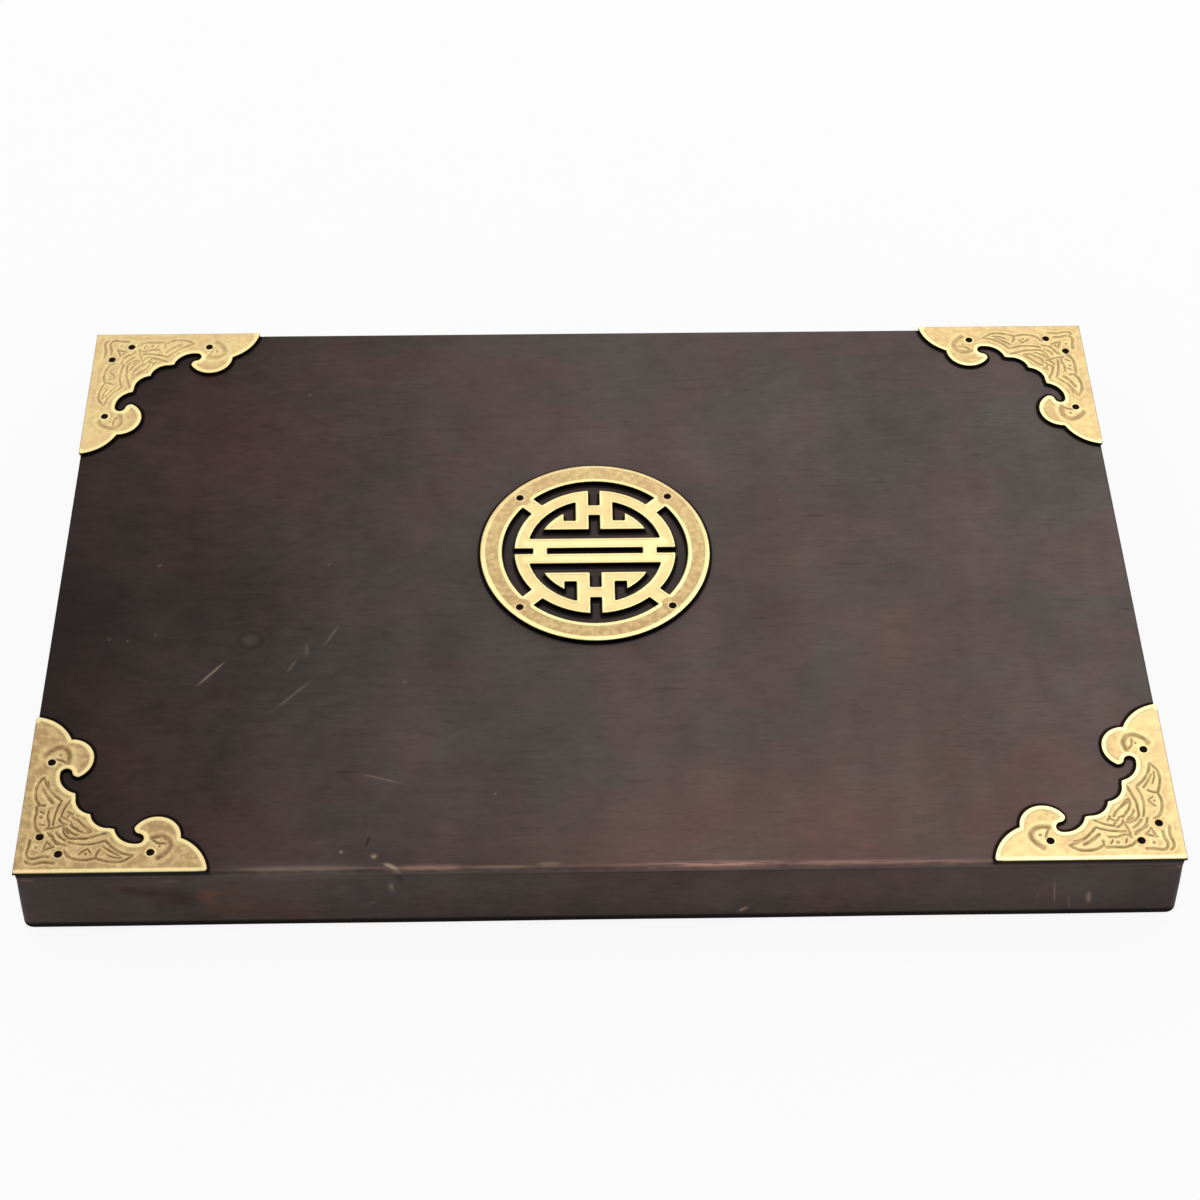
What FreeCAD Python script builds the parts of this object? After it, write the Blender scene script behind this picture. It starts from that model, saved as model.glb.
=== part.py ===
"""Flat box for one set of shogi pieces: a lined tray under a full-depth lift-off lid.

Millimetres, +Z up. The origin is the middle of the rectangle that the box stands on.
+X runs along the long side and the front faces -Y. The lid carries the brass: four
engraved corner plates and one openwork roundel, each held by small countersunk pins.
"""
import FreeCAD, Part
import os

import Sketcher

SIZES = {
    # outside of the wooden lid, at its top
    "box_length": 369.2,
    "box_depth": 239.2,
    "box_height": 31.5,
    # lid: a rabbeted panel on four mitred rails that lean out towards the foot
    "lip_thickness": 3.0,
    "panel_thickness": 7.0,
    "panel_round": 0.8,
    "panel_fit": 0.1,
    "rail_thickness": 8.0,
    "rail_flare": 2.0,
    "rail_foot_round": 3.6,
    "rail_lift": 0.5,
    # tray: four mitred walls round a rabbeted floor
    "tray_clearance": 0.6,
    "wall_thickness": 5.0,
    "floor_thickness": 4.0,
    "floor_rabbet": 2.5,
    "floor_fit": 0.1,
    "felt_thickness": 1.2,
    "felt_margin": 0.3,
    # partitions: slats that cross a centre divider in half laps
    "slat_height": 10.0,
    "slat_thickness": 2.5,
    "divider_thickness": 4.0,
    "tenon_length": 1.5,
    "partition_fit": 0.1,
    # loose tongues that lock the mitres
    "spline_thickness": 1.2,
    "spline_fit": 0.05,
    "lid_spline_width": 6.0,
    "lid_spline_length": 21.0,
    "tray_spline_width": 3.6,
    "tray_spline_length": 18.0,
    # brass corner plates
    "plate_arm": 61.0,
    "plate_thickness": 1.2,
    "plate_overhang": 0.4,
    # brass roundel
    "roundel_radius": 40.0,
    "roundel_thickness": 1.8,
    "roundel_setback": 10.0,
    "ring_width": 7.7,
    "ring_gap": 4.2,
    "bridge_width": 5.5,
    # countersunk pins
    "pin_head": 2.2,
    "pin_shank": 1.2,
    "pin_bite": 1.5,
    "pin_hole_fit": 0.1,
    "pin_bore_fit": 0.05,
    "pin_bore_end": 0.3,
}

ROWS = 5

# Length of the cutting shapes beyond what they cut.
OVERCUT = 5.0

# Corner plate, drawn with arms of length one along both axes from an apex at the origin.
# Half of the outline runs from the arm's tip to the nib on the diagonal, as arcs
# (through, to) and straight runs (to,); the other half mirrors it.
TIP_START = (0.984, 0.0)
HALF_OUTLINE = [
    ((0.995, 0.005), (1.0, 0.016)),
    ((0.951, 0.128), (0.849, 0.208)),
    ((0.715, 0.343), (0.601, 0.277)),
    ((0.605, 0.252), (0.630, 0.235)),
    ((0.655, 0.207), (0.623, 0.175)),
    ((0.544, 0.198), (0.498, 0.269)),
    ((0.469, 0.275),),
    ((0.408, 0.292), (0.364, 0.364)),
]
PLATE_PINS = [(0.223, 0.115), (0.115, 0.223), (0.698, 0.120), (0.120, 0.698)]

# Roundel: the edges of its strokes, measured from its centre lines as shares of the
# radius of its middle disc.
SHARE = {
    "band_inner": 0.833,
    "fin_radius": 0.726,
    "middle_gap_half": 0.046,
    "middle_gap_end": 0.591,
    "side_slot_start": 0.769,
    "side_slot_half": 0.043,
    "bar_top": 0.203,
    "foot_bottom": 0.349,
    "foot_top": 0.495,
    "crossbar_bottom": 0.584,
    "crossbar_top": 0.751,
    "slot_half": 0.069,
    "upright_outer": 0.235,
    "notch_outer": 0.381,
    "rim": 1.0,
    "past_rim": 1.04,
}
BRIDGE_ANGLE = 43.7

TURNS = {"front": 0, "right": 90, "back": 180, "left": 270}
CORNER_TURNS = {"front_left": 0, "front_right": 90, "back_right": 180, "back_left": 270}

doc = FreeCAD.newDocument("piece_box")
sheet = doc.addObject("Spreadsheet::Sheet", "sizes")
for row, (alias, value) in enumerate(SIZES.items(), start=1):
    sheet.set(f"A{row}", alias)
    sheet.set(f"B{row}", str(value))
    sheet.setAlias(f"B{row}", alias)
doc.recompute()

# Lengths that follow from the sheet, as expressions.
LID_HALF_LENGTH = "(sizes.box_length / 2)"
LID_HALF_DEPTH = "(sizes.box_depth / 2)"
TRAY_INSET = "(sizes.rail_thickness + sizes.tray_clearance)"
TRAY_HALF_LENGTH = f"({LID_HALF_LENGTH} - {TRAY_INSET})"
TRAY_HALF_DEPTH = f"({LID_HALF_DEPTH} - {TRAY_INSET})"
INNER_HALF_LENGTH = f"({TRAY_HALF_LENGTH} - sizes.wall_thickness)"
INNER_HALF_DEPTH = f"({TRAY_HALF_DEPTH} - sizes.wall_thickness)"
RAIL_TOP = "(sizes.box_height - sizes.lip_thickness)"
TRAY_RIM = "(sizes.box_height - sizes.panel_thickness)"
FELT_TOP = "(sizes.floor_thickness + sizes.felt_thickness)"
SLAT_PITCH = f"((2 * {INNER_HALF_DEPTH} + sizes.slat_thickness) / {ROWS})"
APEX_X = f"({LID_HALF_LENGTH} + sizes.plate_overhang)"
APEX_Y = f"({LID_HALF_DEPTH} + sizes.plate_overhang)"
RING_INNER = "(sizes.roundel_radius - sizes.ring_width)"
DISC_RADIUS = f"({RING_INNER} - sizes.ring_gap)"
PIN_CIRCLE = "(sizes.roundel_radius - sizes.ring_width / 2)"
HEAD_DEPTH = "((sizes.pin_head - sizes.pin_shank) / 2)"
PIN_LENGTH = "(sizes.plate_thickness + sizes.lip_thickness + sizes.pin_bite)"
BORE_RADIUS = "(sizes.pin_shank / 2 + sizes.pin_bore_fit)"

nodes = []


def corner_signs(corner):
    """Which way a corner lies from the middle of the box, along X and along Y."""
    return (-1 if corner.endswith("left") else 1), (-1 if corner.startswith("front") else 1)


def keep(piece, label):
    """Name a finished sub-part and list it for export."""
    piece.Label = label
    nodes.append(piece)
    return piece


def place(piece, x="0", y="0", z="0", turn=0):
    """Put a piece at three expressions, turned about the vertical."""
    piece.Placement = FreeCAD.Placement(FreeCAD.Vector(), FreeCAD.Rotation(turn, 0, 0))
    for axis, expression in zip("xyz", (x, y, z)):
        if expression != "0":
            piece.setExpression(f"Placement.Base.{axis}", expression)
    return piece


# ---------------------------------------------------------------- sketches and features

def new_sketch(body, name, plane, height="0"):
    """Sketch on one of the body's origin planes, raised along the plane's normal."""
    sketch = body.newObject("Sketcher::SketchObject", name)
    support = [feature for feature in body.Origin.OriginFeatures if feature.Role == plane]
    sketch.AttachmentSupport = [(support[0], "")]
    sketch.MapMode = "FlatFace"
    if height != "0":
        sketch.setExpression("AttachmentOffset.Base.z", height)
    return sketch


def bind_point(sketch, geometry, position, x, y):
    """Hold one point of a sketch at two expressions."""
    for kind, expression in (("DistanceX", x), ("DistanceY", y)):
        index = sketch.addConstraint(Sketcher.Constraint(kind, geometry, position, 1.0))
        sketch.setExpression(f"Constraints[{index}]", expression)


def add_polygon(sketch, corners):
    """Closed polygon whose corners are pairs of expressions."""
    first = sketch.GeometryCount
    count = len(corners)
    ring = Part.makePolygon([FreeCAD.Vector(step, step * step, 0) for step in range(count)], True)
    for edge in ring.Edges:
        start, end = (vertex.Point for vertex in edge.Vertexes)
        sketch.addGeometry(Part.LineSegment(start, end), False)
    for step in range(count):
        following = first + (step + 1) % count
        sketch.addConstraint(Sketcher.Constraint("Coincident", first + step, 2, following, 1))
    for step, (x, y) in enumerate(corners):
        bind_point(sketch, first + step, 1, x, y)


def add_rectangle(sketch, x_from, x_to, y_from, y_to):
    """Rectangle between four expressions."""
    add_polygon(sketch, [(x_from, y_from), (x_to, y_from), (x_to, y_to), (x_from, y_to)])


def add_circle(sketch, x, y, radius):
    """Circle whose centre and radius are expressions."""
    circle = Part.Circle(FreeCAD.Vector(1, 1, 0), FreeCAD.Vector(0, 0, 1), 1)
    index = sketch.addGeometry(circle, False)
    bind_point(sketch, index, 3, x, y)
    rule = sketch.addConstraint(Sketcher.Constraint("Radius", index, 1.0))
    sketch.setExpression(f"Constraints[{rule}]", radius)


def pad(body, sketch, length, side="One side"):
    """Pad a sketch by an expression."""
    feature = body.newObject("PartDesign::Pad", f"{sketch.Name}_pad")
    feature.Profile = sketch
    feature.SideType = side
    feature.setExpression("Length", length)
    return feature


def pocket(body, sketch, depth=None, upward=False):
    """Cut a sketch down by an expression, or through the whole body."""
    feature = body.newObject("PartDesign::Pocket", f"{sketch.Name}_pocket")
    feature.Profile = sketch
    if depth is None:
        feature.Type = "ThroughAll"
        feature.SideType = "Symmetric"
    else:
        feature.setExpression("Length", depth)
        feature.Reversed = upward
    return feature


def fillet_edges(body, base, name, radius, chosen):
    """Round the edges of a feature for which chosen(edge) is true."""
    doc.recompute()
    edges = [f"Edge{index}" for index, edge in enumerate(base.Shape.Edges, start=1) if chosen(edge)]
    feature = body.newObject("PartDesign::Fillet", name)
    feature.Base = (base, edges)
    feature.setExpression("Radius", radius)
    return feature


# ---------------------------------------------------------------- mitred frames

def half_slot(center_x, center_y, thickness, width, sign):
    """Corners of a spline's slot, set square across a mitre that runs at 45 degrees."""
    near = f"(({width} - {thickness}) / 2 / sqrt(2))"
    far = f"(({width} + {thickness}) / 2 / sqrt(2))"
    shifts = [(f"+ {near}", f"+ {far}"), (f"- {far}", f"- {near}"),
              (f"- {near}", f"- {far}"), (f"+ {far}", f"+ {near}")]
    return [(f"{sign} * ({center_x} {dx})", f"{center_y} {dy}") for dx, dy in shifts]


def mitred_side(name, half_span, half_reach, thickness, flare, section, top, spline, round_foot):
    """Front side of a mitred frame: a section padded along X, mitred and slotted at both ends."""
    body = doc.addObject("PartDesign::Body", name)
    profile = new_sketch(body, f"{name}_section", "YZ_Plane")
    add_polygon(profile, section)
    run = pad(body, profile, f"2 * ({half_span} + {flare} + {OVERCUT})", "Symmetric")
    if round_foot:
        def is_foot(edge):
            box = edge.BoundBox
            lowest = run.Shape.BoundBox.ZMin
            outermost = run.Shape.BoundBox.YMin
            return box.ZMax < lowest + 0.01 and box.YMax < outermost + 0.01
        fillet_edges(body, run, f"{name}_foot", round_foot, is_foot)
    mitres = new_sketch(body, f"{name}_mitres", "XY_Plane")
    slots = new_sketch(body, f"{name}_slots", "XY_Plane", top)
    inner_y = f"-({half_reach} - {thickness} - {OVERCUT})"
    outer_y = f"-({half_reach} + {flare} + {OVERCUT})"
    spline_width, spline_length = spline
    for sign in (1, -1):
        inner_x = f"{sign} * ({half_span} - {thickness} - {OVERCUT})"
        outer_x = f"{sign} * ({half_span} + {flare} + {OVERCUT})"
        add_polygon(mitres, [(inner_x, inner_y), (outer_x, outer_y), (outer_x, inner_y)])
        add_polygon(slots, half_slot(
            f"{half_span} - {thickness} / 2", f"-({half_reach} - {thickness} / 2)",
            "(sizes.spline_thickness + 2 * sizes.spline_fit)",
            f"({spline_width} + 2 * sizes.spline_fit)", sign))
    pocket(body, mitres)
    pocket(body, slots, f"{spline_length} + sizes.spline_fit")
    return body


def splines(label, half_length, half_depth, thickness, top, spline):
    """Four loose tongues, one across each mitre of a frame."""
    width, length = spline
    tongues = []
    for corner, turn in CORNER_TURNS.items():
        sign_x, sign_y = corner_signs(corner)
        bar = doc.addObject("Part::Box", f"{label}_{corner}_bar")
        bar.setExpression("Length", width)
        bar.setExpression("Width", "sizes.spline_thickness")
        bar.setExpression("Height", length)
        place(bar, f"-{width} / 2", "-sizes.spline_thickness / 2")
        tongue = doc.addObject("Part::Compound", f"{label}_{corner}")
        tongue.Links = [bar]
        place(tongue, f"{sign_x} * ({half_length} - {thickness} / 2)",
              f"{sign_y} * ({half_depth} - {thickness} / 2)", f"{top} - {length}", turn - 45)
        tongues.append(tongue)
    group = doc.addObject("Part::Compound", label)
    group.Links = tongues
    return keep(group, label)


LID_SPLINE = ("sizes.lid_spline_width", "sizes.lid_spline_length")
TRAY_SPLINE = ("sizes.tray_spline_width", "sizes.tray_spline_length")


def lid_rail(side, half_span, half_reach):
    """One rail of the lid: plumb inside, leaning out outside, with a rounded foot."""
    inner = f"-({half_reach} - sizes.rail_thickness)"
    section = [(inner, RAIL_TOP), (inner, "sizes.rail_lift"),
               (f"-({half_reach} + sizes.rail_flare)", "sizes.rail_lift"),
               (f"-{half_reach}", RAIL_TOP)]
    body = mitred_side(f"lid_{side}_rail", half_span, half_reach, "sizes.rail_thickness",
                       "sizes.rail_flare", section, RAIL_TOP, LID_SPLINE, "sizes.rail_foot_round")
    bores = new_sketch(body, f"{side}_rail_bores", "XY_Plane", RAIL_TOP)
    over_rail = [places for places in PLATE_PINS if places[1] < places[0]]
    for sign in (1, -1):
        for along_x, along_y in over_rail:
            inward = f"sizes.plate_overhang - {along_x} * sizes.plate_arm"
            backward = f"sizes.plate_overhang - {along_y} * sizes.plate_arm"
            add_circle(bores, f"{sign} * ({half_span} + {inward})",
                       f"-({half_reach} + {backward})", BORE_RADIUS)
    pocket(body, bores, "sizes.pin_bite + sizes.pin_bore_end")
    return keep(place(body, turn=TURNS[side]), f"lid_{side}_rail")


def tray_wall(side, half_span, half_reach, mortise_centers, tenon_thickness):
    """One wall of the tray, rabbeted for the floor and mortised for the partitions."""
    inner = f"-({half_reach} - sizes.wall_thickness)"
    ledge = f"-({half_reach} - sizes.wall_thickness + sizes.floor_rabbet)"
    section = [(f"-{half_reach}", "0 * sizes.floor_thickness"), (f"-{half_reach}", TRAY_RIM),
               (inner, TRAY_RIM), (inner, "sizes.floor_thickness"),
               (ledge, "sizes.floor_thickness"), (ledge, "0 * sizes.floor_thickness")]
    body = mitred_side(f"tray_{side}_wall", half_span, half_reach, "sizes.wall_thickness",
                       "0", section, TRAY_RIM, TRAY_SPLINE, None)
    mortises = new_sketch(body, f"{side}_mortises", "XY_Plane", FELT_TOP)
    half_width = f"({tenon_thickness} / 2 + sizes.partition_fit)"
    for center in mortise_centers:
        add_rectangle(mortises, f"{center} - {half_width}", f"{center} + {half_width}",
                      f"{inner} - sizes.tenon_length - sizes.partition_fit",
                      f"{inner} + sizes.partition_fit")
    pocket(body, mortises, "sizes.slat_height + sizes.partition_fit", upward=True)
    return keep(place(body, turn=TURNS[side]), f"tray_{side}_wall")


def row_centers():
    """Where the slats cross the depth of the tray, front to back, as expressions."""
    return [f"({row - ROWS / 2} * {SLAT_PITCH})" for row in range(1, ROWS)]


# ---------------------------------------------------------------- solids from primitives

def block(name, x_from, x_to, y_from, y_to, z_from, z_to):
    """Box between six expressions."""
    box = doc.addObject("Part::Box", name)
    box.setExpression("Length", f"({x_to}) - ({x_from})")
    box.setExpression("Width", f"({y_to}) - ({y_from})")
    box.setExpression("Height", f"({z_to}) - ({z_from})")
    return place(box, x_from, y_from, z_from)


def disc(name, radius, height):
    """Cylinder on the origin with an expression for its radius and its height."""
    cylinder = doc.addObject("Part::Cylinder", name)
    cylinder.setExpression("Radius", radius)
    cylinder.setExpression("Height", height)
    return cylinder


def cut(name, base, *tools):
    """Base less every tool."""
    tool = tools[0] if len(tools) == 1 else fuse(f"{name}_tools", *tools)
    result = doc.addObject("Part::Cut", name)
    result.Base = base
    result.Tool = tool
    return result


def fuse(name, *shapes):
    """Union of the shapes."""
    result = doc.addObject("Part::MultiFuse", name)
    result.Shapes = list(shapes)
    return result


def common(name, *shapes):
    """What the shapes share."""
    result = doc.addObject("Part::MultiCommon", name)
    result.Shapes = list(shapes)
    return result


def mirrored(name, source, normal):
    """Mirror image of a piece in a plane through the origin."""
    result = doc.addObject("Part::Mirroring", name)
    result.Source = source
    result.Normal = normal
    return result


def pin(name, growth, length):
    """Countersunk pin hanging down from the origin, its radii grown by an expression."""
    shank_radius = f"(sizes.pin_shank / 2 + {growth})"
    head = doc.addObject("Part::Cone", f"{name}_head")
    head.setExpression("Radius1", shank_radius)
    head.setExpression("Radius2", f"sizes.pin_head / 2 + {growth}")
    head.setExpression("Height", HEAD_DEPTH)
    place(head, z=f"-{HEAD_DEPTH}")
    shank = disc(f"{name}_shank", shank_radius, length)
    place(shank, z=f"-{length}")
    return fuse(name, head, shank)


# ---------------------------------------------------------------- the lid

def lid_panel():
    """Top board: a lip over the rails, a thicker middle between them and bores for the pins."""
    body = doc.addObject("PartDesign::Body", "lid_panel")
    middle = new_sketch(body, "panel_middle", "XY_Plane", TRAY_RIM)
    inset = "(sizes.rail_thickness + sizes.panel_fit)"
    add_rectangle(middle, f"-({LID_HALF_LENGTH} - {inset})", f"{LID_HALF_LENGTH} - {inset}",
                  f"-({LID_HALF_DEPTH} - {inset})", f"{LID_HALF_DEPTH} - {inset}")
    pad(body, middle, "sizes.panel_thickness - sizes.lip_thickness")
    lip = new_sketch(body, "panel_lip", "XY_Plane", RAIL_TOP)
    add_rectangle(lip, f"-{LID_HALF_LENGTH}", LID_HALF_LENGTH, f"-{LID_HALF_DEPTH}", LID_HALF_DEPTH)
    board = pad(body, lip, "sizes.lip_thickness")
    fillet_edges(body, board, "panel_edge", "sizes.panel_round",
                 lambda edge: edge.BoundBox.ZMin > board.Shape.BoundBox.ZMax - 0.01)
    bores = new_sketch(body, "panel_bores", "XY_Plane", "sizes.box_height")
    for corner in CORNER_TURNS:
        sign_x, sign_y = corner_signs(corner)
        for along_x, along_y in PLATE_PINS:
            add_circle(bores, f"{sign_x} * ({APEX_X} - {along_x} * sizes.plate_arm)",
                       f"{sign_y} * ({APEX_Y} - {along_y} * sizes.plate_arm)", BORE_RADIUS)
    for x, y in roundel_pin_places():
        add_circle(bores, x, f"{y} + sizes.roundel_setback", BORE_RADIUS)
    pocket(body, bores, f"{PIN_LENGTH} + sizes.pin_bore_end - sizes.plate_thickness")
    return keep(body, "lid_panel")


def plate_outline(sketch):
    """Draw the scalloped outline of a corner plate, at the sheet's arm length."""
    arm = sheet.get("plate_arm")

    def at(point):
        return FreeCAD.Vector(point[0] * arm, point[1] * arm, 0)

    def flip(point):
        return point[1], point[0]

    apex = (0.0, 0.0)
    edges = [Part.LineSegment(at(apex), at(TIP_START))]
    edges.append(Part.LineSegment(at(flip(TIP_START)), at(apex)))
    start = TIP_START
    for step in HALF_OUTLINE:
        end = step[-1]
        if len(step) == 2:
            edges.append(Part.Arc(at(start), at(step[0]), at(end)))
            edges.append(Part.Arc(at(flip(start)), at(flip(step[0])), at(flip(end))))
        else:
            edges.append(Part.LineSegment(at(start), at(end)))
            edges.append(Part.LineSegment(at(flip(start)), at(flip(end))))
        start = end
    for edge in edges:
        index = sketch.addGeometry(edge, False)
        sketch.addConstraint(Sketcher.Constraint("Block", index))


def corner_plate(corner, turn):
    """One corner plate with its four countersunk holes."""
    sign_x, sign_y = corner_signs(corner)
    body = doc.addObject("PartDesign::Body", f"corner_plate_{corner}")
    outline = new_sketch(body, f"{corner}_outline", "XY_Plane")
    plate_outline(outline)
    pad(body, outline, "sizes.plate_thickness")
    centers = new_sketch(body, f"{corner}_pin_places", "XY_Plane", "sizes.plate_thickness")
    for along_x, along_y in PLATE_PINS:
        add_circle(centers, f"{along_x} * sizes.plate_arm", f"{along_y} * sizes.plate_arm",
                   "sizes.pin_shank / 2")
    doc.recompute()
    holes = body.newObject("PartDesign::Hole", f"{corner}_holes")
    holes.Profile = centers
    holes.DepthType = "ThroughAll"
    holes.setExpression("Diameter", "sizes.pin_shank + 2 * sizes.pin_hole_fit")
    holes.HoleCutType = "Countersink"
    holes.HoleCutCountersinkAngle = 90
    holes.setExpression("HoleCutDiameter", "sizes.pin_head + 2 * sizes.pin_hole_fit")
    place(body, f"{sign_x} * {APEX_X}", f"{sign_y} * {APEX_Y}", "sizes.box_height", turn)
    return keep(body, f"corner_plate_{corner}")


def corner_pins(corner, turn):
    """The four pins of one corner plate, flush with its face."""
    sign_x, sign_y = corner_signs(corner)
    pins = []
    for number, (along_x, along_y) in enumerate(PLATE_PINS, start=1):
        one = pin(f"{corner}_pin_{number}", "0", PIN_LENGTH)
        pins.append(place(one, f"{along_x} * sizes.plate_arm", f"{along_y} * sizes.plate_arm"))
    group = doc.addObject("Part::Compound", f"corner_pins_{corner}")
    group.Links = pins
    place(group, f"{sign_x} * {APEX_X}", f"{sign_y} * {APEX_Y}",
          "sizes.box_height + sizes.plate_thickness", turn)
    return keep(group, f"corner_pins_{corner}")


def roundel_pin_places():
    """The roundel's four pins, on the axes of its bridges, measured from its centre."""
    x = f"{PIN_CIRCLE} * cos({BRIDGE_ANGLE})"
    y = f"{PIN_CIRCLE} * sin({BRIDGE_ANGLE})"
    return [(f"{sign_x} * {x}", f"{sign_y} * {y}") for sign_x in (1, -1) for sign_y in (1, -1)]


def share(name):
    """A stroke's edge as an expression, negative for a name with a minus before it."""
    sign = "-" if name.startswith("-") else ""
    return f"{sign}{SHARE[name.lstrip('-')]} * {DISC_RADIUS}"


def stroke(name, x_from, x_to, y_from, y_to):
    """Bar of the roundel's character between four named edges."""
    edges = [share(edge) for edge in (x_from, x_to, y_from, y_to)]
    return block(name, *edges, "0 * sizes.roundel_thickness", "sizes.roundel_thickness")


def roundel_disc(name, radius):
    """Disc as thick as the roundel."""
    return disc(name, radius, "sizes.roundel_thickness")


def ring_windows():
    """The gap between ring and character, crossed by four bridges."""
    arms = [roundel_disc("character_blank", DISC_RADIUS)]
    for number, angle in enumerate((BRIDGE_ANGLE, -BRIDGE_ANGLE), start=1):
        bar = block(f"bridge_bar_{number}", f"-{RING_INNER}", RING_INNER,
                    "-sizes.bridge_width / 2", "sizes.bridge_width / 2",
                    "0 * sizes.roundel_thickness", "sizes.roundel_thickness")
        arm = doc.addObject("Part::Compound", f"bridge_{number}")
        arm.Links = [bar]
        arms.append(place(arm, turn=angle))
    return cut("ring_windows", roundel_disc("ring_hole", RING_INNER), *arms)


def character_opening():
    """The opening in the upper half of the character, round its uprights, feet and fins."""
    field = common("field", roundel_disc("field_disc", share("band_inner")),
                   stroke("field_box", "-rim", "rim", "bar_top", "rim"))
    fin_blank = common("fin_blank", roundel_disc("fin_disc", share("fin_radius")),
                       stroke("fin_box", "slot_half", "rim", "foot_bottom", "rim"))
    notch = stroke("notch", "upright_outer", "notch_outer", "foot_top", "rim")
    fin = cut("fin", fin_blank, notch)
    upright = stroke("upright", "slot_half", "upright_outer", "foot_bottom", "rim")
    figure = fuse("figure_half", fin, upright)
    crossbar = stroke("crossbar", "-upright_outer", "upright_outer",
                      "crossbar_bottom", "crossbar_top")
    return cut("character_opening", field, figure,
               mirrored("figure_mirror", figure, FreeCAD.Vector(1, 0, 0)), crossbar)


def roundel():
    """Openwork roundel: an outer ring on four bridges round a symmetrical character."""
    opening = character_opening()
    top_slot = stroke("top_slot", "-slot_half", "slot_half", "crossbar_top", "past_rim")
    side_slot = stroke("side_slot", "side_slot_start", "past_rim",
                       "-side_slot_half", "side_slot_half")
    upward = FreeCAD.Vector(0, 1, 0)
    cuts = [
        ring_windows(),
        opening,
        mirrored("lower_opening", opening, upward),
        top_slot,
        mirrored("bottom_slot", top_slot, upward),
        side_slot,
        mirrored("other_side_slot", side_slot, FreeCAD.Vector(1, 0, 0)),
        stroke("middle_gap", "-middle_gap_end", "middle_gap_end",
               "-middle_gap_half", "middle_gap_half"),
    ]
    for number, (x, y) in enumerate(roundel_pin_places(), start=1):
        tool = pin(f"roundel_hole_{number}", "sizes.pin_hole_fit", PIN_LENGTH)
        cuts.append(place(tool, x, y, "sizes.roundel_thickness"))
    piece = cut("roundel", roundel_disc("roundel_blank", "sizes.roundel_radius"), *cuts)
    return keep(place(piece, y="sizes.roundel_setback", z="sizes.box_height"), "roundel")


def roundel_pins():
    """The roundel's four pins, flush with its face."""
    pins = []
    for number, (x, y) in enumerate(roundel_pin_places(), start=1):
        one = pin(f"roundel_pin_{number}", "0", PIN_LENGTH)
        pins.append(place(one, x, y))
    group = doc.addObject("Part::Compound", "roundel_pins")
    group.Links = pins
    place(group, y="sizes.roundel_setback", z="sizes.box_height + sizes.roundel_thickness")
    return keep(group, "roundel_pins")


# ---------------------------------------------------------------- the tray

def floor_board():
    """Floor, let into the rabbets of the four walls."""
    grip = "(sizes.floor_rabbet - sizes.floor_fit)"
    piece = block("tray_floor", f"-({INNER_HALF_LENGTH} + {grip})", f"{INNER_HALF_LENGTH} + {grip}",
                  f"-({INNER_HALF_DEPTH} + {grip})", f"{INNER_HALF_DEPTH} + {grip}",
                  "0 * sizes.floor_thickness", "sizes.floor_thickness")
    return keep(piece, "tray_floor")


def felt_lining():
    """Felt sheet that covers the floor between the walls."""
    half_x = f"({INNER_HALF_LENGTH} - sizes.felt_margin)"
    half_y = f"({INNER_HALF_DEPTH} - sizes.felt_margin)"
    piece = block("felt_lining", f"-{half_x}", half_x, f"-{half_y}", half_y,
                  "sizes.floor_thickness", FELT_TOP)
    return keep(piece, "felt_lining")


def partitions():
    """Centre divider from front to back and the slats that cross it in half laps."""
    top = f"{FELT_TOP} + sizes.slat_height"
    middle = f"{FELT_TOP} + sizes.slat_height / 2"
    divider_half = "(sizes.divider_thickness / 2)"
    slat_half = "(sizes.slat_thickness / 2)"
    divider_reach = f"({INNER_HALF_DEPTH} + sizes.tenon_length)"
    slat_reach = f"({INNER_HALF_LENGTH} + sizes.tenon_length)"
    blank = block("divider_blank", f"-{divider_half}", divider_half,
                  f"-{divider_reach}", divider_reach, FELT_TOP, top)
    laps = []
    for number, center in enumerate(row_centers(), start=1):
        lap_half = f"({slat_half} + sizes.partition_fit)"
        laps.append(block(f"divider_lap_{number}", f"-{divider_half}", divider_half,
                          f"{center} - {lap_half}", f"{center} + {lap_half}", FELT_TOP, middle))
        lap_half = f"({divider_half} + sizes.partition_fit)"
        slat = cut(
            f"row_slat_{number}",
            block(f"slat_blank_{number}", f"-{slat_reach}", slat_reach,
                  f"{center} - {slat_half}", f"{center} + {slat_half}", FELT_TOP, top),
            block(f"slat_lap_{number}", f"-{lap_half}", lap_half,
                  f"{center} - {slat_half}", f"{center} + {slat_half}", middle, top))
        keep(slat, f"row_slat_{number}")
    keep(cut("centre_divider", blank, *laps), "centre_divider")


# ---------------------------------------------------------------- assembly and export

lid_panel()
for side in ("front", "back"):
    lid_rail(side, LID_HALF_LENGTH, LID_HALF_DEPTH)
    tray_wall(side, TRAY_HALF_LENGTH, TRAY_HALF_DEPTH, ["0 * sizes.box_length"],
              "sizes.divider_thickness")
for side in ("left", "right"):
    lid_rail(side, LID_HALF_DEPTH, LID_HALF_LENGTH)
    tray_wall(side, TRAY_HALF_DEPTH, TRAY_HALF_LENGTH, row_centers(), "sizes.slat_thickness")
splines("lid_corner_splines", LID_HALF_LENGTH, LID_HALF_DEPTH, "sizes.rail_thickness",
        RAIL_TOP, LID_SPLINE)
splines("tray_corner_splines", TRAY_HALF_LENGTH, TRAY_HALF_DEPTH, "sizes.wall_thickness",
        TRAY_RIM, TRAY_SPLINE)
for corner, turn in CORNER_TURNS.items():
    corner_plate(corner, turn)
    corner_pins(corner, turn)
roundel()
roundel_pins()
floor_board()
felt_lining()
partitions()
doc.recompute()

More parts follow.
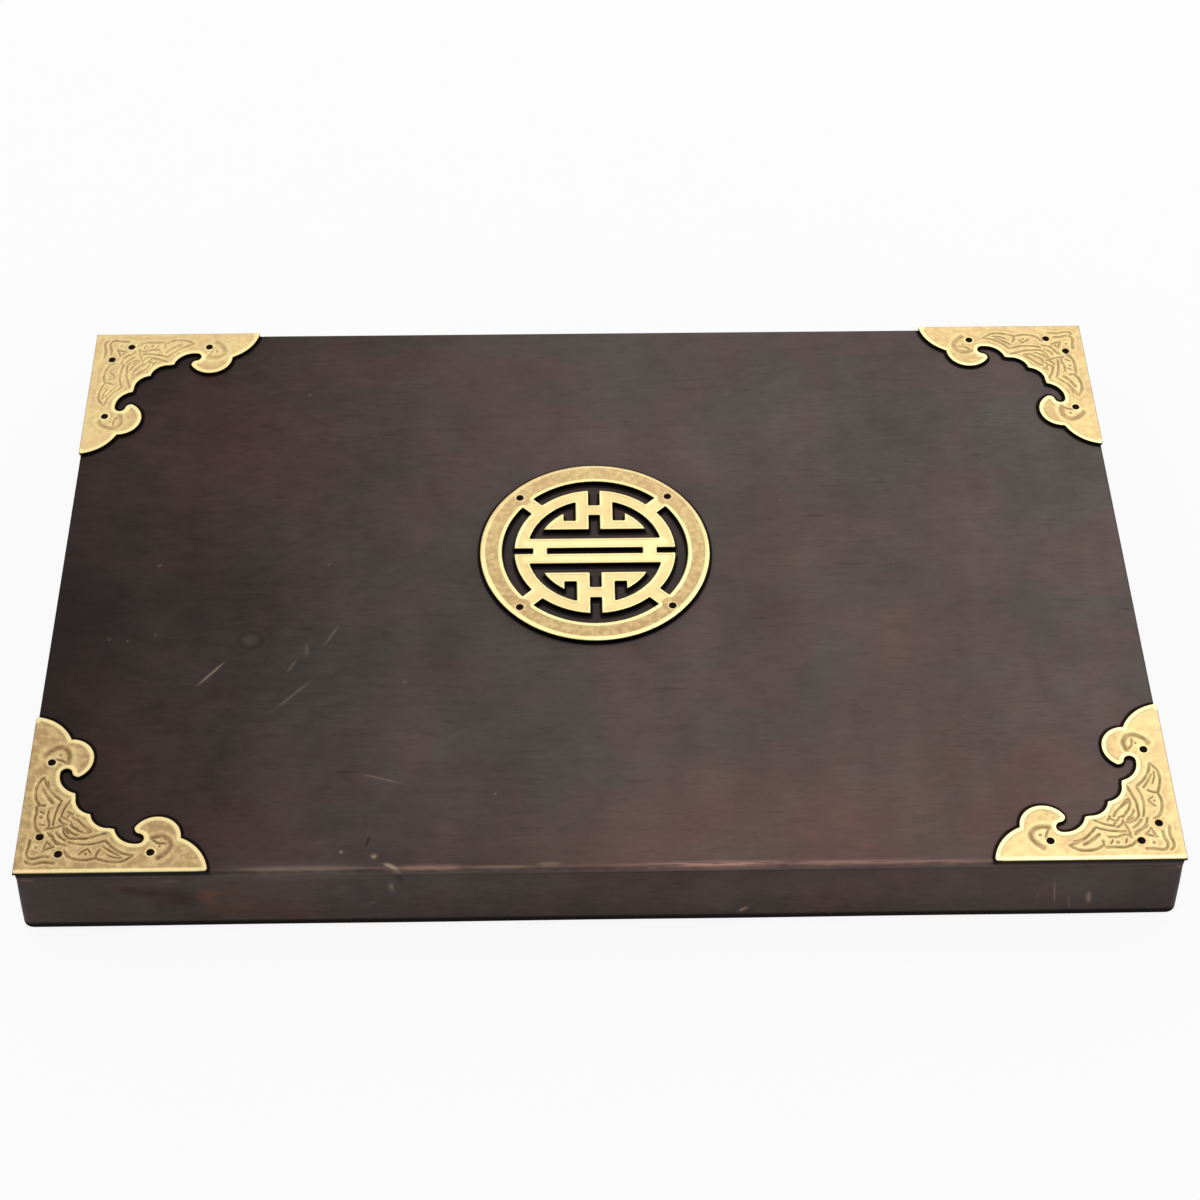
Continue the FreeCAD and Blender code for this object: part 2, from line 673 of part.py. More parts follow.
for item in doc.Objects:
    if "Invalid" in item.State or "Error" in item.State:
        raise RuntimeError(f"{item.Label} failed: {item.State}")
for node in nodes:
    if node.Shape.isNull() or not node.Shape.isValid():
        raise RuntimeError(f"{node.Label} has no valid shape")

os.makedirs("parts", exist_ok=True)
for node in nodes:
    node.Shape.exportStep(f"parts/{node.Label}.step")
    print(f"{node.Label}: {len(node.Shape.Solids)} solid(s), {node.Shape.Volume:.1f} mm3")
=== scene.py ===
"""Looks of the flat piece box: dark stained wood, antiqued brass and the lined tray inside.

Lengths are in millimetres in the box's own frame, and turn into metres where a mesh is made.
"""
import math

import bpy
import numpy as np
from mathutils import Matrix, Vector
from mathutils.geometry import delaunay_2d_cdt


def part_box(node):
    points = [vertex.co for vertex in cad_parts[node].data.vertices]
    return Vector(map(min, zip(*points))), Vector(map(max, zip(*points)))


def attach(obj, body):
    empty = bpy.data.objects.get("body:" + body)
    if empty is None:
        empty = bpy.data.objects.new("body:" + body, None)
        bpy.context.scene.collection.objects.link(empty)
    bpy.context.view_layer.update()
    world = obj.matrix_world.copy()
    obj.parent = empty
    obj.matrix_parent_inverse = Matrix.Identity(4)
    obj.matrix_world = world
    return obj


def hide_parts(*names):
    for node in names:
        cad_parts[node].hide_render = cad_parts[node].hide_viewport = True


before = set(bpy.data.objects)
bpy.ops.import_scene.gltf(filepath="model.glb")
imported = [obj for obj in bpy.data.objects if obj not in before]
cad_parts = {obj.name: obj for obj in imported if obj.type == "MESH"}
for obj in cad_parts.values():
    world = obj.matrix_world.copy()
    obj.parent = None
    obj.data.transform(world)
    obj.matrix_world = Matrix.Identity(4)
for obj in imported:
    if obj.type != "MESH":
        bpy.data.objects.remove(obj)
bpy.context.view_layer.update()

MM = 0.001

# ---- sizes, as in the solids

BOX_HALF_LENGTH = 184.6
BOX_HALF_DEPTH = 119.6
BOX_HEIGHT = 31.5
LIP_THICKNESS = 3.0
PANEL_THICKNESS = 7.0
PANEL_ROUND = 0.8
PANEL_FIT = 0.1
RAIL_THICKNESS = 8.0
RAIL_FLARE = 2.0
RAIL_FOOT_ROUND = 3.6
RAIL_LIFT = 0.5
PLATE_ARM = 61.0
PLATE_THICKNESS = 1.2
PLATE_OVERHANG = 0.4
ROUNDEL_RADIUS = 40.0
ROUNDEL_THICKNESS = 1.8
ROUNDEL_SETBACK = 10.0
RING_WIDTH = 7.7
RING_GAP = 4.2
BRIDGE_WIDTH = 5.5
BRIDGE_ANGLE = math.radians(43.7)
PIN_HEAD = 2.2
PIN_SHANK = 1.2
PIN_BITE = 1.5
PIN_HOLE_FIT = 0.1

RAIL_TOP = BOX_HEIGHT - LIP_THICKNESS
PIN_LENGTH = PLATE_THICKNESS + LIP_THICKNESS + PIN_BITE
RING_INNER = ROUNDEL_RADIUS - RING_WIDTH
DISC_RADIUS = RING_INNER - RING_GAP
PIN_CIRCLE = ROUNDEL_RADIUS - RING_WIDTH / 2
HOLE_RADIUS = PIN_HEAD / 2 + PIN_HOLE_FIT

TURNS = {"front": 0, "right": 90, "back": 180, "left": 270}
CORNER_TURNS = {"front_left": 0, "front_right": 90, "back_right": 180, "back_left": 270}

# ---- paths in the plane

SHARP_TURN = 0.35
DISTANCE_CHUNK = 2048


def turned(points, degrees):
    """Points turned about the origin."""
    angle = math.radians(degrees)
    cosine, sine = math.cos(angle), math.sin(angle)
    return np.asarray(points, float) @ np.array([[cosine, sine], [-sine, cosine]])


def flipped(points):
    """Points mirrored in the diagonal, in the opposite order."""
    return np.asarray(points, float)[::-1, ::-1]


def straight(start, end, step):
    """Points from start up to, but not including, end."""
    start, end = np.asarray(start, float), np.asarray(end, float)
    count = max(1, math.ceil(np.linalg.norm(end - start) / step))
    return start + (end - start) * (np.arange(count) / count)[:, None]


def corners_path(points, step):
    """Points along straight runs between corners, without the last corner."""
    return np.vstack([straight(a, b, step) for a, b in zip(points, points[1:])])


def circle_points(center, radius, angles):
    """Points of a circle at the given angles."""
    return np.asarray(center) + radius * np.stack([np.cos(angles), np.sin(angles)], 1)


def ring_of(center, radius, count, clockwise=True):
    """Circle as a closed loop of points."""
    return circle_points(center, radius, np.arange(count) * math.tau / count * (-1 if clockwise else 1))


def turn_arc(center, radius, angle_from, angle_to, step):
    """Points of an arc from one angle up to, but not including, another."""
    count = max(2, math.ceil(abs(angle_to - angle_from) * radius / step))
    return circle_points(center, radius, angle_from + (angle_to - angle_from) * np.arange(count) / count)


def arc(start, through, end, step):
    """Points of the arc over three points, from start up to, but not including, end."""
    stops = np.array([start, through, end], float)
    across = np.roll(stops, -1, 0) - np.roll(stops, 1, 0)
    squares = (stops ** 2).sum(1)
    twice = 2 * (stops[:, 0] * across[:, 1]).sum()
    center = np.array([(squares * across[:, 1]).sum(), -(squares * across[:, 0]).sum()]) / twice
    angles = [math.atan2(y - center[1], x - center[0]) for x, y in stops]
    sweep = (angles[2] - angles[0]) % math.tau
    if (angles[1] - angles[0]) % math.tau > sweep:
        sweep -= math.tau
    return turn_arc(center, math.dist(center, start), angles[0], angles[0] + sweep, step)


def smooth(points, step):
    """Smooth path through the points, with a point about every step."""
    points = np.asarray(points, float)
    if len(points) == 2:
        return np.vstack([straight(points[0], points[1], step), points[1:]])
    ends = np.vstack([2 * points[0] - points[1], points, 2 * points[-1] - points[-2]])
    path = []
    for a, b, c, d in zip(ends, ends[1:], ends[2:], ends[3:]):
        count = max(1, math.ceil(np.linalg.norm(c - b) / step))
        t = (np.arange(count) / count)[:, None]
        path.append(0.5 * (2 * b + (c - a) * t + (2 * a - 5 * b + 4 * c - d) * t ** 2
                           + (3 * b - a - 3 * c + d) * t ** 3))
    return np.vstack(path + [points[-1:]])


def soften(loop, radius):
    """Loop with its sharp corners rounded."""
    before = loop - np.roll(loop, 1, 0)
    after = np.roll(loop, -1, 0) - loop
    turn = np.abs(np.arctan2(before[:, 0] * after[:, 1] - before[:, 1] * after[:, 0],
                             (before * after).sum(1)))
    result = []
    for point, back, ahead, angle in zip(loop, before, after, turn):
        if angle < SHARP_TURN:
            result.append(point)
            continue
        start = point - back / np.linalg.norm(back) * radius
        end = point + ahead / np.linalg.norm(ahead) * radius
        result += [(1 - t) ** 2 * start + 2 * t * (1 - t) * point + t * t * end
                   for t in (0.0, 0.25, 0.5, 0.75, 1.0)]
    return np.array(result)


def distance_to(points, place):
    """Distance from each point to a place."""
    return np.linalg.norm(points - place, axis=1)


def path_distance(points, path):
    """Distance from each point to the nearest place on a path."""
    start, run = path[:-1], np.diff(path, axis=0)
    squared = np.maximum((run ** 2).sum(1), 1e-12)
    nearest = np.empty(len(points))
    for first in range(0, len(points), DISTANCE_CHUNK):
        reach = points[first:first + DISTANCE_CHUNK, None] - start
        along = np.clip((reach * run).sum(2) / squared, 0, 1)
        gap = reach - along[..., None] * run
        nearest[first:first + DISTANCE_CHUNK] = np.sqrt((gap ** 2).sum(2).min(1))
    return nearest


def loop_distance(points, loops):
    """Distance from each point to the nearest of the closed loops."""
    return np.min([path_distance(points, np.vstack([loop, loop[:1]])) for loop in loops], 0)


def distance_where(chosen, points, paths):
    """Distance from each chosen point to the nearest of the paths, and infinity for the others."""
    distance = np.full(len(points), np.inf)
    distance[chosen] = np.min([path_distance(points[chosen], path) for path in paths], 0)
    return distance


def boxed(points, path, margin):
    """Which points lie in the box round a path, widened by a margin."""
    return ((points > path.min(0) - margin) & (points < path.max(0) + margin)).all(1)


def smoothstep(low, high, value):
    """Smooth rise from 0 at low to 1 at high."""
    t = np.clip((value - low) / (high - low), 0, 1)
    return t * t * (3 - 2 * t)


def bell(distance, width):
    """Smooth bump of height one, about as wide to each side as width."""
    return np.exp(-(distance / width) ** 2)


def brink_profile(edge, radius):
    """Height of a rounded brink against the distance from the edge."""
    return np.sqrt(np.maximum(0.0, radius ** 2 - np.maximum(0.0, radius - edge) ** 2)) - radius


# ---- meshes


def make_object(name, points, faces, material, body, attributes=None, crease=40):
    """Smooth-shaded mesh from points in millimetres, riding on a body of the frame."""
    mesh = bpy.data.meshes.new(name)
    mesh.from_pydata((np.asarray(points) * MM).tolist(), [], faces)
    mesh.validate()
    mesh.shade_smooth()
    mesh.set_sharp_from_angle(angle=math.radians(crease))
    for label, values in (attributes or {}).items():
        layer = mesh.attributes.new(label, "FLOAT", "POINT")
        layer.data.foreach_set("value", np.asarray(values, np.float32).ravel())
    mesh.materials.append(material)
    piece = bpy.data.objects.new(name, mesh)
    bpy.context.scene.collection.objects.link(piece)
    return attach(piece, body)


def tube(around, rings, first=0, flip=False):
    """Quads between rings of that many points round, which follow one another."""
    faces = []
    for ring in range(first, first + (rings - 1) * around, around):
        for side in range(around):
            a, b = ring + side, ring + (side + 1) % around
            faces.append((a, a + around, b + around, b) if flip else (a, b, b + around, a + around))
    return faces


def sideways(tangent):
    """Unit vectors to the left of each tangent."""
    tangent = tangent / np.maximum(np.linalg.norm(tangent, axis=1), 1e-9)[:, None]
    return np.stack([-tangent[:, 1], tangent[:, 0]], 1)


def inset_rows(loop, offsets, loops):
    """Points set in from a loop by each offset, where no loop comes nearer than that."""
    inward = sideways(np.roll(loop, -1, 0) - np.roll(loop, 1, 0))
    rows = [loop + inward * offset for offset in offsets]
    return np.vstack([row[loop_distance(row, loops) > offset * 0.97] for row, offset in zip(rows, offsets)])


def path_rows(path, offsets):
    """Points beside a path, at each offset to both sides, and on it."""
    side = sideways(np.gradient(path, axis=0))
    return np.vstack([path] + [path + side * offset * sign for offset in offsets for sign in (1, -1)])


def spread(points, spacing):
    """The points in order, less each one that lies nearer than the spacing to one before it."""
    taken, kept = {}, []
    for x, y in points:
        column, row = math.floor(x / spacing), math.floor(y / spacing)
        near = [spot for i in (-1, 0, 1) for j in (-1, 0, 1)
                for spot in taken.get((column + i, row + j), ())]
        if all((x - a) ** 2 + (y - b) ** 2 >= spacing ** 2 for a, b in near):
            taken.setdefault((column, row), []).append((x, y))
            kept.append((x, y))
    return np.array(kept)


def inside(points, loops):
    """Which points lie inside the first loop and outside the others."""
    odd = np.zeros(len(points), bool)
    for loop in loops:
        for (ax, ay), (bx, by) in zip(loop, np.roll(loop, -1, 0)):
            if ay == by:
                continue
            crosses = (ay > points[:, 1]) != (by > points[:, 1])
            odd ^= crosses & (points[:, 0] < (bx - ax) * (points[:, 1] - ay) / (by - ay) + ax)
    return odd


def triangulate(loops, extra):
    """Triangles between closed loops over them and the extra points, and each loop's indices."""
    rings, edges, first = [], [], 0
    for loop in loops:
        ring = list(range(first, first + len(loop)))
        edges += list(zip(ring, ring[1:] + ring[:1]))
        rings.append(ring)
        first += len(loop)
    vectors = [Vector(point) for point in np.vstack([*loops, *extra])]
    out, _, faces, origins, _, _ = delaunay_2d_cdt(vectors, edges, [], 0, 1e-7, True)
    out, faces = np.array(out), np.array(faces)
    faces = faces[inside(out[faces].mean(1), loops)]
    place = {origin: index for index, group in enumerate(origins) for origin in group}
    return out, faces, [[place[index] for index in ring] for ring in rings]


class Relief:
    """Flat piece with a shaped upper face: triangles between its loops, with a height at each point.

    Heights are measured from the nominal top, so they are zero or less. marks holds one
    number for each point under each name, for the material.
    """

    def __init__(self, loops, holes, thickness, rows, paths, path_offsets, reach, coarse, ratio):
        everything, fine = loops + holes, coarse / ratio
        candidates = [inset_rows(loop, rows, everything) for loop in loops]
        candidates += [inset_rows(hole, HALO_ROWS, everything) for hole in holes]
        candidates += [path_rows(path, path_offsets) for path in paths]
        beside = spread(np.vstack(candidates), fine * 0.45)
        clear = loop_distance(beside, everything) > fine * 0.25
        beside = beside[inside(beside, everything) & clear]
        axes = [np.arange(low, high, fine) for low, high in zip(loops[0].min(0), loops[0].max(0))]
        grid = np.stack(np.meshgrid(*axes, indexing="ij"), 2)
        wanted = np.zeros(grid.shape[:2], bool)
        wanted[::ratio, ::ratio] = True
        grid, near = grid.reshape(-1, 2), np.full(wanted.size, np.inf)
        for path in paths:
            box = boxed(grid, path, reach)
            near[box] = np.minimum(near[box], path_distance(grid[box], path))
        wanted = (wanted.ravel() | (near < reach)) & (near > path_offsets[-1] + fine * 0.4)
        grid = grid[wanted]
        grid = grid[inside(grid, everything)]
        grid = grid[loop_distance(grid, everything) > rows[-1] + fine * 0.4]
        self.loops, self.holes, self.thickness = loops, holes, thickness
        self.points, self.faces, self.rings = triangulate(everything, [beside, grid])
        self.edge = loop_distance(self.points, loops)
        self.height = np.zeros(len(self.points))
        self.marks = {}

    def lift(self, name, values):
        """Raise a mark to the values where they are higher."""
        self.marks[name] = np.maximum(self.marks.get(name, 0.0), values)

    def press(self, name, depth, mask):
        """Sink the face by a depth where a mask is one, and raise a mark to the mask."""
        self.height -= depth * mask
        self.lift(name, mask)

    def solid(self):
        """Points and faces of the closed piece, its nominal top at its thickness."""
        top = np.column_stack([self.points, self.thickness + self.height])
        first, faces = len(top), [tuple(face) for face in self.faces.tolist()]
        flat, flat_faces, flat_rings = triangulate(self.loops + self.holes, [])
        faces += [(c + first, b + first, a + first) for a, b, c in flat_faces.tolist()]
        for ring, under in zip(self.rings, flat_rings):
            for a, b, under_a, under_b in zip(ring, ring[1:] + ring[:1], under, under[1:] + under[:1]):
                faces.append((a, under_a + first, under_b + first, b))
        return np.vstack([top, np.column_stack([flat, np.zeros(len(flat))])]), faces

    def spread_marks(self, count):
        """The marks, continued with zeros for points past the upper face."""
        return {name: np.pad(values, (0, count - len(values))) for name, values in self.marks.items()}


# ---- material nodes


class Nodes:
    """Short calls that build one material's node tree."""

    def __init__(self, name):
        self.material = bpy.data.materials.new(name)
        self.material.use_nodes = True
        self.tree = self.material.node_tree
        self.shader = self.tree.nodes["Principled BSDF"]

    def add(self, kind, inputs=(), **settings):
        """New node with its settings and, by index or name, its inputs."""
        node = self.tree.nodes.new(kind)
        for label, value in settings.items():
            setattr(node, label, value)
        for label, value in dict(inputs).items():
            self.feed(node.inputs[label], value)
        return node

    def feed(self, socket, value):
        """Link a socket to another, or set its own value."""
        if isinstance(value, bpy.types.NodeSocket):
            self.tree.links.new(value, socket)
        else:
            socket.default_value = value

    def set(self, **inputs):
        """Inputs of the principled shader, with _ for each space in their names."""
        for label, value in inputs.items():
            self.feed(self.shader.inputs[label.replace("_", " ")], value)

    def math(self, operation, a, b=0.0, c=0.0):
        return self.add("ShaderNodeMath", {0: a, 1: b, 2: c}, operation=operation).outputs[0]

    def total(self, *layers):
        """Sum of layers, each a value and its factor, with or without an offset."""
        result = None
        for layer in layers:
            value = self.math("MULTIPLY_ADD", *layer)
            result = value if result is None else self.math("ADD", result, value)
        return result

    def scaled(self, vector, scale):
        return self.add("ShaderNodeVectorMath", {0: vector, 1: scale}, operation="MULTIPLY").outputs[0]

    def position(self):
        return self.add("ShaderNodeTexCoord").outputs["Object"]

    def mark(self, name):
        return self.add("ShaderNodeAttribute", attribute_name=name).outputs["Fac"]

    def noise(self, scale, detail=3.0, roughness=0.5, distortion=0.0):
        """Noise with that many features a metre, one number for all axes or one for each."""
        place, even = self.position(), isinstance(scale, float)
        return self.add("ShaderNodeTexNoise", {
            "Vector": place if even else self.scaled(place, scale), "Scale": scale if even else 1.0,
            "Detail": detail, "Roughness": roughness, "Distortion": distortion}).outputs["Fac"]

    def grain(self, along, lengthwise, crosswise, **settings):
        """Noise with that many features a metre along the grain and across it."""
        scales = {"x": (lengthwise, crosswise, crosswise), "y": (crosswise, lengthwise, crosswise)}
        return self.noise(scales[along], **settings)

    def fit(self, value, low, high, to_low=0.0, to_high=1.0):
        """Smooth step of a value between low and high, to another range."""
        return self.add("ShaderNodeMapRange", {
            "Value": value, "From Min": low, "From Max": high,
            "To Min": to_low, "To Max": to_high}, interpolation_type="SMOOTHSTEP").outputs["Result"]

    def mix(self, factor, a, b):
        return self.add("ShaderNodeMix", {0: factor, 6: a, 7: b}, data_type="RGBA",
                        clamp_factor=True).outputs[2]

    def coated(self, color, *coats):
        """Colour under coats, each a share and the colour that it shows on a screen."""
        for share, *shown in coats:
            color = self.mix(share, color, rgb(*shown))
        return color

    def ramp(self, factor, *stops):
        """Colour ramp of stops, each a position and the colour that it shows on a screen."""
        node = self.add("ShaderNodeValToRGB", {"Fac": factor})
        elements = node.color_ramp.elements
        while len(elements) < len(stops):
            elements.new(0.5)
        for element, (position, *shown) in zip(elements, stops):
            element.position, element.color = position, rgb(*shown)
        return node.outputs["Color"]

    def bump(self, height, distance, strength):
        self.set(Normal=self.add("ShaderNodeBump", {
            "Height": height, "Distance": distance, "Strength": strength}).outputs["Normal"])


def rgb(red, green, blue):
    """Linear colour from the 0 to 255 values that it shows on a screen."""
    return tuple((value / 255 / 12.92 if value < 10.3 else ((value / 255 + 0.055) / 1.055) ** 2.4)
                 for value in (red, green, blue)) + (1.0,)


def dark_wood(name, along):
    """Dark stained board: clouded stain, faint grain, sparse short pores and rubbed edges, with painted
    highlights and shade from its marks.
    """
    nodes = Nodes(name)
    streaks = nodes.grain(along, 16.0, 352.0, detail=4.0, roughness=0.6)
    fibres = nodes.grain(along, 70.0, 1540.0, roughness=0.65)
    pores = nodes.fit(nodes.grain(along, 120.0, 2640.0, detail=1.0), 0.66, 0.76)
    bands = nodes.grain(along, 42.0, 7.0, distortion=0.6)
    clouds = nodes.noise(14.0, detail=4.0, roughness=0.55, distortion=0.4)
    blotches = nodes.noise(48.0, roughness=0.55, distortion=0.5)
    patches = nodes.grain(along, 110.0, 260.0, roughness=0.6, distortion=0.8)
    flecks = nodes.grain(along, 120.0, 1000.0, detail=2.0, roughness=0.6, distortion=1.2)
    flecks = nodes.math("MULTIPLY", nodes.fit(flecks, 0.54, 0.70), nodes.fit(blotches, 0.42, 0.58))
    hue = nodes.noise(26.0, roughness=0.55, distortion=0.8)
    tone, red, dark = nodes.mark("tone"), nodes.mark("red"), nodes.mark("dark")
    color = nodes.ramp(tone, (0.0, 14, 9, 8), (0.1, 52, 41, 38), (0.45, 95, 83, 79), (1.0, 130, 119, 114))
    gain = nodes.total((clouds, 0.50, 0.76), (bands, 0.40, -0.20), (blotches, 0.50, -0.25),
                       (patches, 0.42, -0.21), (streaks, 0.24, -0.12), (fibres, 0.12, -0.06),
                       (flecks, -0.17))
    uneven = nodes.total((patches, 0.5, -0.25), (blotches, 0.6, -0.30))
    gain = nodes.math("MULTIPLY_ADD", uneven, nodes.fit(tone, 0.05, 0.32, 1.0, 0.0), gain)
    color = nodes.scaled(color, gain)
    rust = nodes.math("MULTIPLY", nodes.mark("rust"), nodes.fit(blotches, 0.30, 0.55, 0.35, 1.0))
    for share, plain, tinted in ((nodes.fit(hue, 0.38, 0.62), (0.94, 1.01, 1.0), (1.07, 0.97, 0.97)),
                                 (red, (0.93, 1.0, 1.0), (1.42, 0.98, 0.92)),
                                 (rust, (1.0, 1.0, 1.0), (1.55, 1.02, 0.74))):
        color = nodes.scaled(color, nodes.mix(share, (*plain, 1.0), (*tinted, 1.0)))
    color = nodes.scaled(color, nodes.fit(pores, 0.0, 1.0, 1.0, 0.80))
    # The rubbed edge's pale coat is wear and a painted highlight.
    frayed = nodes.fit(nodes.grain(along, 60.0, 1320.0, detail=4.0, roughness=0.7), 0.32, 0.58)
    wear_and_highlight = nodes.math("MULTIPLY", nodes.mark("wear_and_highlight"), frayed)
    # The dark coat holds hairlines and knot rings, and painted shade round the brass, in the roundel, on the
    # brink and on the foot.
    color = nodes.coated(color, (wear_and_highlight, 192, 148, 134), (nodes.mark("scar"), 176, 150, 130), (dark, 16, 10, 8))
    rough = nodes.math("MULTIPLY_ADD", dark, 0.44, nodes.fit(streaks, 0.3, 0.7, 0.46, 0.56))
    nodes.set(Base_Color=color, Roughness=rough, Specular_IOR_Level=0.10)
    nodes.bump(nodes.total((streaks, 0.5), (fibres, 0.3), (pores, -0.6)), 0.00008, 0.5)
    return nodes.material


def tray_wood(name, along):
    """Plain brown board with a matt, lightly stained face."""
    nodes = Nodes(name)
    streaks = nodes.grain(along, 12.0, 264.0, detail=5.0, roughness=0.6, distortion=0.3)
    fibres = nodes.grain(along, 60.0, 1320.0, roughness=0.7)
    pores = nodes.fit(nodes.grain(along, 90.0, 1980.0, detail=1.0), 0.62, 0.74)
    lightness = nodes.total((streaks, 0.9, -0.2), (fibres, 0.35, -0.17), (nodes.noise(16.0), 0.5, -0.25))
    color = nodes.ramp(lightness, (0.0, 86, 60, 48), (0.45, 116, 84, 66), (1.0, 146, 112, 88))
    color = nodes.coated(color, (nodes.math("MULTIPLY", pores, 0.5), 62, 42, 33))
    nodes.set(Base_Color=color, Roughness=nodes.fit(streaks, 0.3, 0.7, 0.55, 0.68), Specular_IOR_Level=0.3)
    nodes.bump(nodes.math("SUBTRACT", streaks, pores), 0.0001, 0.6)
    return nodes.material


def brass():
    """Antiqued brass: polished rims, a clouded satin field, brown grooves and black walls."""
    nodes = Nodes("brass")
    rim, groove = nodes.mark("rim"), nodes.mark("groove")
    clouds = nodes.noise(95.0, detail=4.0, roughness=0.6, distortion=0.4)
    mottle = nodes.noise(420.0, roughness=0.6)
    grit = nodes.noise(2600.0, detail=2.0, roughness=0.6)
    brushing = nodes.noise((260.0, 2600.0, 500.0), detail=2.0)
    field = nodes.mix(nodes.fit(clouds, 0.38, 0.62), rgb(227, 198, 144), rgb(233, 209, 148))
    patina = nodes.math("MULTIPLY", nodes.mark("patina"), nodes.fit(mottle, 0.36, 0.60, 0.6, 1.0))
    field = nodes.coated(field, (nodes.fit(mottle, 0.40, 0.70, 0.0, 0.45), 208, 174, 126),
                         (patina, 160, 130, 90))
    polished = nodes.mix(nodes.fit(clouds, 0.3, 0.7), rgb(243, 222, 158), rgb(248, 231, 170))
    broken = nodes.noise(230.0, detail=2.0, roughness=0.6)
    tarnish = nodes.math("MULTIPLY", groove, nodes.fit(broken, 0.38, 0.60, 0.20, 0.78))
    # The walls' near-black is tarnish and painted shade.
    color = nodes.coated(nodes.mix(rim, field, polished), (tarnish, 122, 92, 54),
                         (nodes.mark("wall"), 22, 15, 10))
    rough = nodes.total((nodes.fit(rim, 0.0, 1.0, 0.44, 0.30), 1.0), (mottle, 0.10, -0.05), (groove, 0.12))
    nodes.set(Base_Color=color, Roughness=rough, Metallic=1.0)
    nodes.bump(nodes.total((grit, 0.5), (brushing, 0.5), (mottle, 1.0)), 0.00004, 0.8)
    return nodes.material


def dark_steel():
    """Blackened steel of the pins."""
    nodes = Nodes("dark_steel")
    speckle = nodes.noise(1500.0, roughness=0.6)
    color = nodes.mix(nodes.fit(speckle, 0.4, 0.7), rgb(20, 4, 1), rgb(34, 10, 5))
    nodes.set(Base_Color=color, Roughness=nodes.fit(speckle, 0.3, 0.7, 0.7, 0.85), Specular_IOR_Level=0.12)
    nodes.bump(speckle, 0.00003, 0.6)
    return nodes.material


def felt():
    """Dark red wool felt with matted fibres."""
    nodes = Nodes("felt")
    matting = nodes.noise(900.0, detail=4.0, roughness=0.7, distortion=0.6)
    fibres = nodes.noise((2400.0, 700.0, 900.0), detail=2.0, distortion=1.5)
    clouds = nodes.noise(24.0, detail=2.0)
    color = nodes.mix(nodes.fit(matting, 0.3, 0.7), rgb(92, 26, 30), rgb(132, 44, 46))
    color = nodes.coated(color, (nodes.fit(clouds, 0.4, 0.7, 0.0, 0.35), 104, 36, 38),
                         (nodes.fit(fibres, 0.6, 0.8, 0.0, 0.4), 158, 78, 76))
    nodes.set(Base_Color=color, Roughness=0.95, Sheen_Weight=0.35, Specular_IOR_Level=0.15)
    nodes.bump(nodes.total((matting, 1.0), (fibres, 1.0)), 0.0004, 0.8)
    return nodes.material


BRASS = brass()
STEEL = dark_steel()
FELT = felt()
WOOD = {"x": dark_wood("dark_wood_long", "x"), "y": dark_wood("dark_wood_cross", "y")}
TRAY = {"x": tray_wood("tray_wood_long", "x"), "y": tray_wood("tray_wood_cross", "y")}

# ---- brass corner plates

# The plate is drawn with its apex at the origin and its arms along +X and +Y. Half of the
# outline runs from the arm's tip to the nib on the diagonal, as arcs (through, to) and
# straight runs (to,), in shares of the arm; the other half mirrors it.
TIP_START = (0.984, 0)
HALF_OUTLINE = [
    ((0.995, 0.005), (1, 0.016)), ((0.951, 0.128), (0.849, 0.208)), ((0.715, 0.343), (0.601, 0.277)),
    ((0.605, 0.252), (0.63, 0.235)), ((0.655, 0.207), (0.623, 0.175)), ((0.544, 0.198), (0.498, 0.269)),
    ((0.469, 0.275),), ((0.408, 0.292), (0.364, 0.364)),
]
PLATE_PINS = [(0.223, 0.115), (0.115, 0.223), (0.698, 0.12), (0.12, 0.698)]
